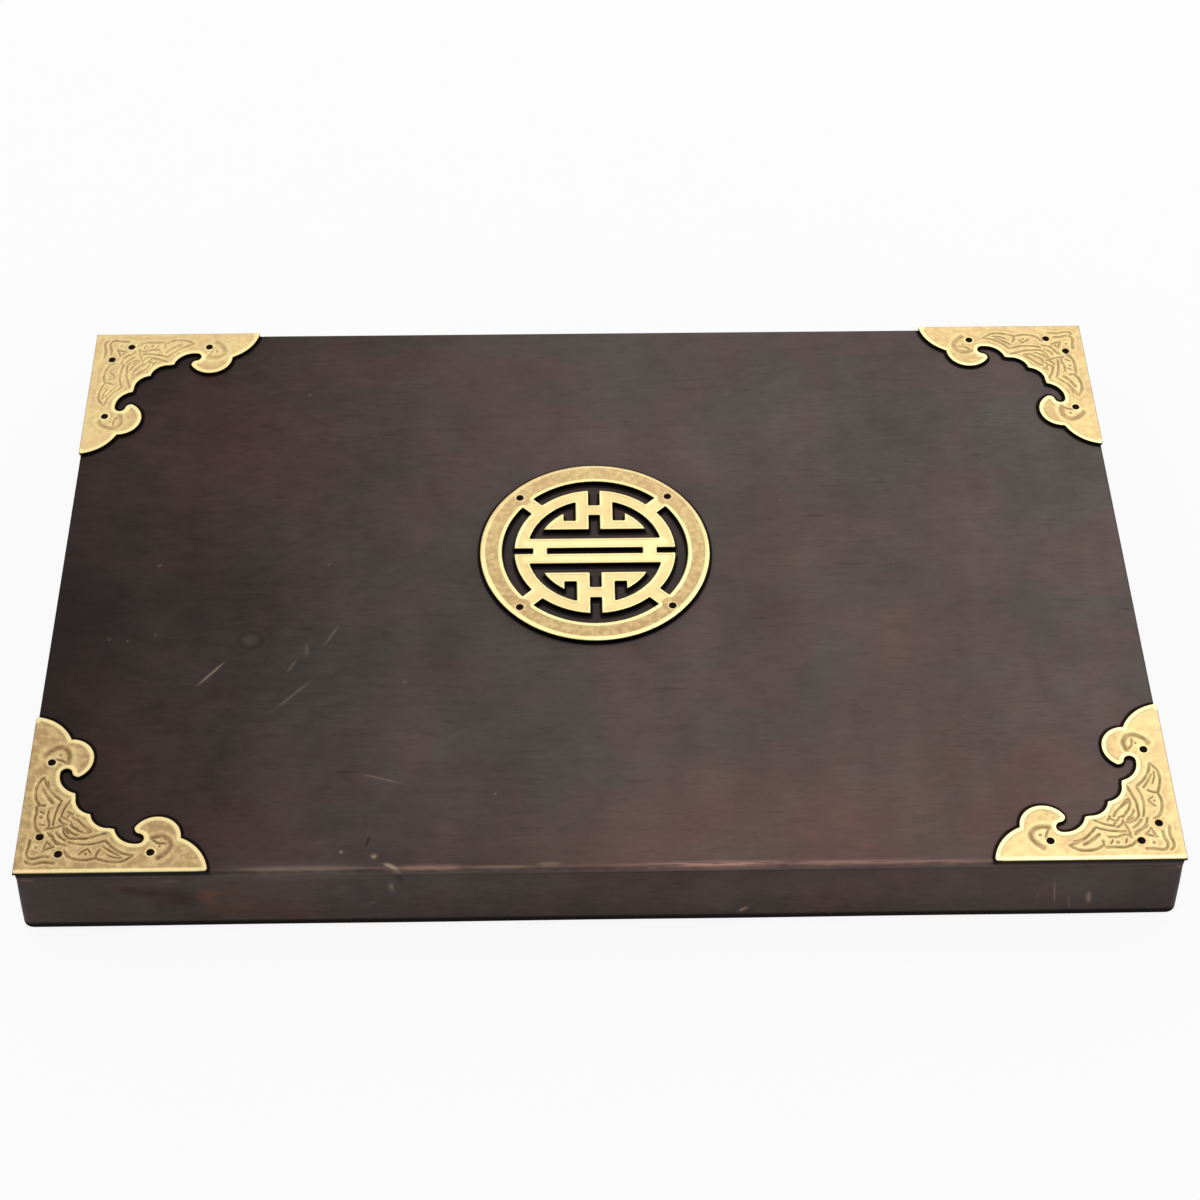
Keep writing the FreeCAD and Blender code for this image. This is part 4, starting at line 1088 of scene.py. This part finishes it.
def darken_with_grime_and_shade(relief, edges, openings):
    """Darken the board along the brass with grime and painted shade, and paint shade in the roundel's
    openings.
    """
    points = relief.points
    reach = SHADE_GRIME_FRONT + (SHADE_GRIME_BACK - SHADE_GRIME_FRONT) * smoothstep(-60, 60, points[:, 1])
    # Dark ring round each plate and the roundel: partly grime, partly painted contact shade.
    for path in edges:
        paths = [path + (0, shift) for shift in SHADE_GRIME_SHIFTS]
        distance = distance_where(boxed(points, path, 3), points, paths)
        relief.lift("dark", SHADE_GRIME_DARK * smoothstep(reach, reach - SHADE_GRIME_FADE, distance))
    # Painted shade over the wood inside the roundel, and a painted shadow just in front of each stroke.
    from_middle = distance_to(points, (0, ROUNDEL_SETBACK))
    relief.lift("dark", OPENING_SHADE * smoothstep(ROUNDEL_RADIUS - 2, RING_INNER + 2, from_middle))
    distance = distance_where(from_middle < RING_INNER + 1, points, openings)
    relief.lift("dark", STROKE_SHADOW * smoothstep(1.3, 0.5, distance))


def shade_and_rub_brink(relief):
    """Paint shade on the board's brink, darkest under the plates, and rub its front edge bare in places."""
    x, y = relief.points.T
    edge, front = relief.edge, y < -BOX_HALF_DEPTH + 1.5
    # Painted shade along the rounded brink, and a painted shadow on the front brink, darkest under the
    # plates.
    relief.lift("dark", BRINK_SHADE * smoothstep(0.9, 0.25, edge) * ~front)
    under_plate = smoothstep(0.0, 1.0, np.abs(x) - (BOX_HALF_LENGTH - PLATE_ARM))
    shade = 0.25 + 0.15 * np.sin(0.9 * x) * np.sin(0.23 * x + 1.0)
    shade += (PLATE_SHADE - shade) * under_plate
    relief.lift("dark", shade * smoothstep(0.3, 0.1, edge) * front)
    # The front brink is paler where it is rubbed bare, and the same mark paints its highlight.
    bare = np.interp(x, *np.transpose(FRONT_WEAR_AND_HIGHLIGHT))
    wear_and_highlight = bare * smoothstep(-BOX_HALF_DEPTH + 2.4, -BOX_HALF_DEPTH + 1.4, y)
    wear_and_highlight *= smoothstep(1.25 + 0.7 * bare, 0.35, edge) * (0.45 + 0.55 * smoothstep(0.0, 0.3, edge))
    relief.marks["wear_and_highlight"] = wear_and_highlight


def board_relief():
    """Upper face of the lid board: rounded brink, scratches, knot, grime, wear and stain, with painted shade,
    highlights and sheen.
    """
    edges = brass_edges()
    # The openings' outlines shifted forward, where the painted shadow under the strokes falls.
    openings = [np.vstack([loop, loop[:1]]) + (0, ROUNDEL_SETBACK - STROKE_SHADOW_SHIFT)
                for loop in roundel_loops()[1:]]
    scratches, hairlines = (
        [(smooth(points, MARK_STEP), width, strength) for points, width, strength in lines]
        for lines in (SCRATCHES, HAIRLINES + grain_dashes()))
    paths = [path for path, _, _ in scratches + hairlines]
    paths += [ring_of(center, radius * 0.6, 8) for center, radius, _ in SPECKS]
    paths += [ring_of(KNOT, radius, 40) for radius in (2.0, 3.5, 5.5)]
    paths += edges + [edge + (0, SHADE_GRIME_SHIFTS[-1]) for edge in edges] + openings
    relief = Relief([board_outline()], [], LIP_THICKNESS, BOARD_ROWS, paths, MARK_ROWS,
                    reach=2.0, coarse=3.0, ratio=6)
    x, y = relief.points.T
    uneven = np.sin(x * 0.05 + 1.3) * np.cos(y * 0.07 + 0.4) - 1
    relief.height += brink_profile(relief.edge, PANEL_ROUND) + 0.04 * uneven * smoothstep(2, 12, relief.edge)
    press_marks(relief, scratches, hairlines)
    darken_with_grime_and_shade(relief, edges, openings)
    shade_and_rub_brink(relief)
    relief.marks["tone"], relief.marks["red"] = stain_and_sheen_marks(relief.points)
    return relief


def dress_board():
    """Lid board: a lip over the rails with the thicker middle below it."""
    relief = board_relief()
    points, faces = relief.solid()
    count = len(points)
    drop, ease = LIP_THICKNESS - PANEL_THICKNESS, 0.4
    half = np.array([BOX_HALF_LENGTH, BOX_HALF_DEPTH]) - (RAIL_THICKNESS + PANEL_FIT)
    middle = [(*(half - shrink) * signs, height)
              for shrink, height in ((0.0, 0.0), (0.0, drop + ease), (ease, drop))
              for signs in ((-1, -1), (1, -1), (1, 1), (-1, 1))]
    faces += tube(4, 3, count, flip=True) + [tuple(count + 11 - step for step in range(4))]
    points = np.vstack([points, middle]) + (0, 0, RAIL_TOP)
    marks = relief.spread_marks(len(points))
    marks["tone"][len(relief.points):] = 0.30
    piece = make_object("lid_board", points, faces, WOOD["x"], "lid", marks, crease=35)
    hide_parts("lid_panel")


# ---- lid rails

RAIL_JOINT = 0.05
RAIL_EASE = 0.45
FOOT_STEPS = 10
CORNER_ROUND = 1.0
CORNER_FOOT_ROUND = 3.0
# How dark the painted shade on the foot is, and from what height down to what it sets in.
FOOT_SHADE = 0.95
FOOT_SHADE_FADE = (6.2, 4.6)


def rail_section():
    """Section of a rail: outward reach and height, from the outer top edge down and round."""
    lean = RAIL_FLARE / (RAIL_TOP - RAIL_LIFT)
    tilt = math.atan(lean)
    foot_turn = math.pi / 2 + tilt
    tangent = RAIL_FOOT_ROUND * math.tan(foot_turn / 2)
    face_end = RAIL_LIFT + tangent * math.cos(tilt)
    section = [(-RAIL_EASE, RAIL_TOP), (-RAIL_EASE * 0.3, RAIL_TOP - RAIL_EASE * 0.3)]
    section += [((RAIL_TOP - height) * lean, height)
                for height in np.linspace(RAIL_TOP - RAIL_EASE, face_end, 44)]
    center = np.array([RAIL_FLARE - tangent, RAIL_LIFT + RAIL_FOOT_ROUND])
    section += [center + polar(RAIL_FOOT_ROUND, tilt - foot_turn * step / FOOT_STEPS)
                for step in range(1, FOOT_STEPS + 1)]
    section += [(RAIL_EASE - RAIL_THICKNESS, RAIL_LIFT), (-RAIL_THICKNESS, RAIL_LIFT + RAIL_EASE),
                (-RAIL_THICKNESS, RAIL_TOP)]
    return np.array(section)


# Marks on the front rail: patches (place, spread, tone, redness, rust) and nicks
# (from, to, width, depth, bareness, redness, tone), by X and height. The patch at (-94, 28.5)
# is a painted highlight along the top edge.
FRONT_PATCHES = [
    ((-150, 22.3), (3.5, 1.8), -0.1, 0.45, 0.1), ((-143, 20.4), (5, 2.8), -0.12, 0.5, 0.15),
    ((-134, 17.8), (6.5, 4), -0.12, 0.5, 0.2), ((-141, 14.8), (2.5, 2), -0.04, 0.6, 0.1),
    ((-125, 17), (3.5, 5.5), 0.03, 0.2, 1), ((-118, 20), (4.5, 2.6), 0, 0.2, 0.75),
    ((-120, 11.5), (4, 3.5), 0, 0.2, 0.7), ((-112, 12), (6, 5), -0.02, 0.15, 0.5),
    ((-100, 9), (9, 5), 0, 0.15, 0.3), ((-30, 14), (30, 14), 0.04, -0.05, 0),
    ((-50, 25), (42, 7), 0.07, 0, 0), ((35, 12), (16, 8), 0.05, 0, 0), ((-72, 14), (12, 8), 0.02, -0.14, 0),
    ((-160, 10), (10, 9), 0, 0.2, 0), ((-168, 18), (22, 16), -0.06, 0.05, 0),
    # The patch at (-94, 28.5) on this line is a painted highlight along the top edge.
    ((76, 14), (18, 12), 0, 0.35, 0), ((-94, 28.5), (22, 2), 0.12, -0.25, 0),
    ((-172, 12), (9, 14), -0.01, -0.1, 0), ((66, 20), (30, 10), 0.03, 0.1, 0),
    ((120, 16), (50, 12), 0.03, 0.05, 0), ((175, 14), (9, 12), -0.02, -0.12, 0),
]
FRONT_NICKS = [
    ((44, 6.6), (47.2, 9), 0.55, 0.15, 0.5, 0, 0), ((-67, 23.4), (-66.7, 20.2), 0.7, 0.15, 0.3, 0.1, 0),
    ((-64, 27.6), (-63.6, 25), 1, 0.2, 0, 0.2, -0.12), ((-75.6, 12.9), (-71.2, 14.6), 0.4, 0.05, 0.1, 0, 0),
    ((-184.1, 27.9), (-178, 27.8), 0.45, 0.05, 0.2, 0.3, 0),
    ((-140, 26.3), (-133, 26.6), 0.4, 0.05, 0.12, 0, 0),
    ((144.2, 23), (146.3, 7.2), 0.36, 0.08, 0.2, 0.1, 0),
    ((150, 14.4), (151.2, 5.6), 0.36, 0.05, 0.12, 0.1, 0),
    ((139.7, 16), (140.5, 9.6), 0.5, 0.05, 0.06, 0, 0),
    ((156.3, 15.2), (157.2, 8.2), 0.75, 0.1, 0.34, 0.6, 0),
    ((182.6, 28), (184.4, 26.4), 0.4, 0.1, 0.3, 0.1, 0), ((74, 5), (74.1, 3.4), 0.35, 0.1, 0.3, 0, 0),
]
NICK_STATIONS = np.arange(-1.5, 1.6, 0.25)


def rail_stations(side, span):
    """Where a rail's section is set, in shares of its half span: closer at its ends and nicks."""
    ends = 1 - np.arange(0.5, 6.0, 0.5) / span
    stations = np.concatenate([[-1], -ends, np.linspace(-ends[-1], ends[-1], int(span / 0.75))[1:-1],
                               ends[::-1], [1]])
    if side == "front":
        near = [(x + NICK_STATIONS) / span for (start, _), (end, _), *_ in FRONT_NICKS for x in (start, end)]
        stations = np.unique(np.clip(np.round(np.concatenate([stations, *near]), 5), -1, 1))
    return stations


def mark_front(x, z, face, marks):
    """Lay the front rail's patches and nicks into its marks, and tell how deep the nicks are."""
    depth = np.zeros(x.shape)
    for center, spread_by, *changes in FRONT_PATCHES:
        patch = np.exp(-((x - center[0]) / spread_by[0]) ** 2 - ((z - center[1]) / spread_by[1]) ** 2)
        for name, change in zip(("tone", "red", "rust"), changes):
            marks[name] += change * patch
    flat = np.stack([x.ravel(), z.ravel()], 1)
    for start, end, width, sunk, bare, *changes in FRONT_NICKS:
        mask = stroke(flat, np.array([start, end]), width).reshape(x.shape) * face
        depth += sunk * mask
        marks["scar"] = np.maximum(marks["scar"], bare * mask)
        for name, change in zip(("red", "tone"), changes):
            marks[name] += change * mask
    return depth


def dress_rail(side, half_span, half_reach, along):
    """One rail of the lid, swept along its side and mitred at both ends."""
    section = rail_section()
    reach, height = section.T
    span = half_span - RAIL_JOINT
    stations = rail_stations(side, span)
    x = stations[:, None] * (span + reach)
    z, outward = (np.broadcast_to(values, x.shape) for values in (height, reach))
    face = smoothstep(-1.5, 0.0, outward) * (z > 1.0)
    tone = 0.18 + 0.03 * np.sin(x * 0.021 + len(side))
    # Painted shade: the face darker towards the foot.
    tone -= 0.04 * smoothstep(18, 8, z) + 0.05 * smoothstep(8, 2, z)
    marks = {name: np.zeros(x.shape) for name in ("rust", "scar", "wear_and_highlight")}
    marks.update(tone=tone, red=np.full(x.shape, 0.18), dark=FOOT_SHADE * smoothstep(*FOOT_SHADE_FADE, z))
    outward = outward + face * 0.05 * (np.sin(x * 0.06 + len(side)) * np.cos(z * 0.2) - 1)
    if side == "front":
        outward -= mark_front(x, z, face, marks)
    x, outward = round_corners(x, outward, z, reach, half_span)
    plan = turned(np.stack([x.ravel(), -(half_reach + outward).ravel()], 1), TURNS[side])
    points = np.column_stack([plan, z.ravel()])
    count, last = len(section), len(points) - len(section)
    faces = tube(count, len(stations))
    faces += [tuple(range(count))[::-1], tuple(range(last, last + count))]
    piece = make_object(f"{side}_rail_board", points, faces, WOOD[along], "lid", marks, crease=35)
    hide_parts(f"lid_{side}_rail")


def round_corners(x, outward, z, reach, half_span):
    """Rail's points eased round the box's upright corners, more so towards the foot."""
    radius = CORNER_ROUND + (CORNER_FOOT_ROUND - CORNER_ROUND) * (1 - z / RAIL_TOP)
    lead = np.maximum(reach, -1.0) - radius
    over_x, over_y = np.abs(x) - (half_span + lead), outward - lead
    both = (over_x > 0) & (over_y > 0)
    pull = np.where(both, np.maximum(over_x, over_y) / np.maximum(np.hypot(over_x, over_y), 1e-9), 1.0) - 1
    return np.sign(x) * (np.abs(x) + over_x * pull), outward + over_y * pull


# ---- tray

# Pieces of the tray and all splines, with their grain and the width of their eased edges.
TRAY_PIECES = [
    (("tray_front_wall", "tray_back_wall"), "x", 0.4), (("tray_left_wall", "tray_right_wall"), "y", 0.4),
    (("tray_floor",), "x", 0.3), (("centre_divider",), "y", 0.35),
    (("row_slat_1", "row_slat_2", "row_slat_3", "row_slat_4"), "x", 0.35),
    (("tray_corner_splines", "lid_corner_splines"), "x", 0.0),
]
FELT_PITCH = 2.0


def soften_node(name, material, width):
    """CAD piece with eased edges and its material."""
    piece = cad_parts[name]
    piece.data.materials.clear()
    piece.data.materials.append(material)
    weld = piece.modifiers.new("weld", "WELD")
    weld.merge_threshold = 0.00001
    if width:
        bevel = piece.modifiers.new("ease", "BEVEL")
        bevel.width = width * MM
        bevel.segments = 2
        bevel.limit_method = "ANGLE"
        bevel.angle_limit = math.radians(40)


def dress_felt():
    """Felt sheet on the floor, a little uneven and soft at its edges."""
    low, high = (np.array(corner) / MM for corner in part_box("felt_lining"))
    size = (high - low)[:2]
    axes = [start + length * np.linspace(0, 1, int(length / FELT_PITCH) + 1)
            for start, length in zip(low, size)]
    x, y = np.meshgrid(*axes, indexing="ij")
    edge = np.minimum(np.minimum(x - low[0], high[0] - x), np.minimum(y - low[1], high[1] - y))
    soft = 0.35 * bell(edge, 0.9)
    ripple = 0.05 * (1 + np.sin(x * 0.35 + 0.6 * np.sin(y * 0.2)) * np.sin(y * 0.41 + 1.0))
    top, under = (np.column_stack([x.ravel(), y.ravel(), z.ravel()])
                  for z in (high[2] - soft - ripple, np.full(x.shape, low[2])))
    index = np.arange(x.size).reshape(x.shape)
    quads = np.stack([index[:-1, :-1], index[1:, :-1], index[1:, 1:], index[:-1, 1:]], 2).reshape(-1, 4)
    faces = quads.tolist() + (quads[:, ::-1] + x.size).tolist()
    rim = np.concatenate([index[:-1, 0], index[-1, :-1], index[:0:-1, -1], index[0, :0:-1]]).tolist()
    faces += [(a, a + x.size, b + x.size, b) for a, b in zip(rim, rim[1:] + rim[:1])]
    piece = make_object("felt_sheet", np.vstack([top, under]), faces, FELT, "tray")
    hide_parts("felt_lining")


# ---- camera, light and floor

# The photograph's camera: where it looks, from which side, and how far off.
CAMERA_TARGET = (2.01, 13.56, 1.7)
CAMERA_AZIMUTH = -1.474
CAMERA_ELEVATION = 50.611
CAMERA_ROLL = 0.505
CAMERA_DISTANCE = 875.0
FOCAL_PIXELS = 2437.5
IMAGE_PIXELS = 1200
SENSOR_WIDTH = 36.0
FLOOR_HALF = 6.0


def add_camera():
    """Camera at the photograph's viewpoint."""
    azimuth, elevation = math.radians(CAMERA_AZIMUTH), math.radians(CAMERA_ELEVATION)
    back = Vector((math.sin(azimuth) * math.cos(elevation),
                   -math.cos(azimuth) * math.cos(elevation), math.sin(elevation)))
    right = Vector((0, 0, 1)).cross(back).normalized()
    axes = Matrix((right, back.cross(right), back)).transposed().to_4x4()
    place = Matrix.Translation((Vector(CAMERA_TARGET) + back * CAMERA_DISTANCE) * MM)
    data = bpy.data.cameras.new("camera")
    data.sensor_width = SENSOR_WIDTH
    data.lens = FOCAL_PIXELS / IMAGE_PIXELS * SENSOR_WIDTH
    camera = bpy.data.objects.new("camera", data)
    camera.matrix_world = place @ axes @ Matrix.Rotation(math.radians(CAMERA_ROLL), 4, "Z")
    bpy.context.scene.collection.objects.link(camera)
    bpy.context.scene.camera = camera


def add_softbox(name, place, size, power):
    """Square area lamp that faces the box."""
    data = bpy.data.lights.new(name, "AREA")
    data.size, data.energy = size, power
    lamp = bpy.data.objects.new(name, data)
    lamp.location = place
    lamp.rotation_euler = (Vector((0, 0, 0.02)) - Vector(place)).to_track_quat("-Z", "Y").to_euler()
    bpy.context.scene.collection.objects.link(lamp)


def add_world():
    """Even pale surroundings that look white behind the box."""
    world = bpy.data.worlds.new("studio")
    world.use_nodes = True
    tree = world.node_tree
    background = tree.nodes["Background"]
    strength = tree.nodes.new("ShaderNodeMapRange")
    path = tree.nodes.new("ShaderNodeLightPath")
    tree.links.new(path.outputs["Is Camera Ray"], strength.inputs["Value"])
    strength.inputs["To Min"].default_value = 0.80
    strength.inputs["To Max"].default_value = 1.0
    tree.links.new(strength.outputs["Result"], background.inputs["Strength"])
    background.inputs["Color"].default_value = (1.0, 1.0, 1.0, 1.0)
    bpy.context.scene.world = world


def add_floor():
    """Wide pale floor that reads as white where it is seen and keeps the box's shadow."""
    nodes = Nodes("floor")
    pale = nodes.mix(nodes.noise(40.0, detail=2.0), (0.80, 0.80, 0.80, 1), (0.84, 0.84, 0.84, 1))
    nodes.set(Base_Color=pale, Roughness=0.9)
    lifted = nodes.add("ShaderNodeEmission", {"Color": (1, 1, 1, 1), "Strength": 1.0})
    rays = nodes.add("ShaderNodeLightPath").outputs
    seen = nodes.math("MAXIMUM", rays["Is Camera Ray"], rays["Is Glossy Ray"])
    seen = nodes.math("MAXIMUM", seen, rays["Is Transmission Ray"])
    blend = nodes.add("ShaderNodeMixShader", {
        0: nodes.math("MULTIPLY", seen, 0.9), 1: nodes.shader.outputs[0], 2: lifted.outputs[0]})
    nodes.feed(nodes.tree.nodes["Material Output"].inputs["Surface"], blend.outputs[0])
    mesh = bpy.data.meshes.new("floor")
    mesh.from_pydata([(x * FLOOR_HALF, y * FLOOR_HALF, 0) for x, y in ((-1, -1), (1, -1), (1, 1), (-1, 1))],
                     [], [(0, 1, 2, 3)])
    mesh.materials.append(nodes.material)
    floor = bpy.data.objects.new("floor", mesh)
    bpy.context.scene.collection.objects.link(floor)


# ---- making it all

dress_board()
for side in ("front", "back"):
    dress_rail(side, BOX_HALF_LENGTH, BOX_HALF_DEPTH, "x")
for side in ("left", "right"):
    dress_rail(side, BOX_HALF_DEPTH, BOX_HALF_LENGTH, "y")
dress_corners()
dress_roundel()
for names, along, ease in TRAY_PIECES:
    for name in names:
        soften_node(name, TRAY[along], ease)
dress_felt()
add_camera()
add_world()
add_softbox("key", (0.54, 0.84, 1.40), 0.9, 2.6)
add_softbox("back", (0.0, 1.2, 1.2), 2.0, 4.5)
add_floor()
bpy.context.scene.view_settings.view_transform = "Standard"
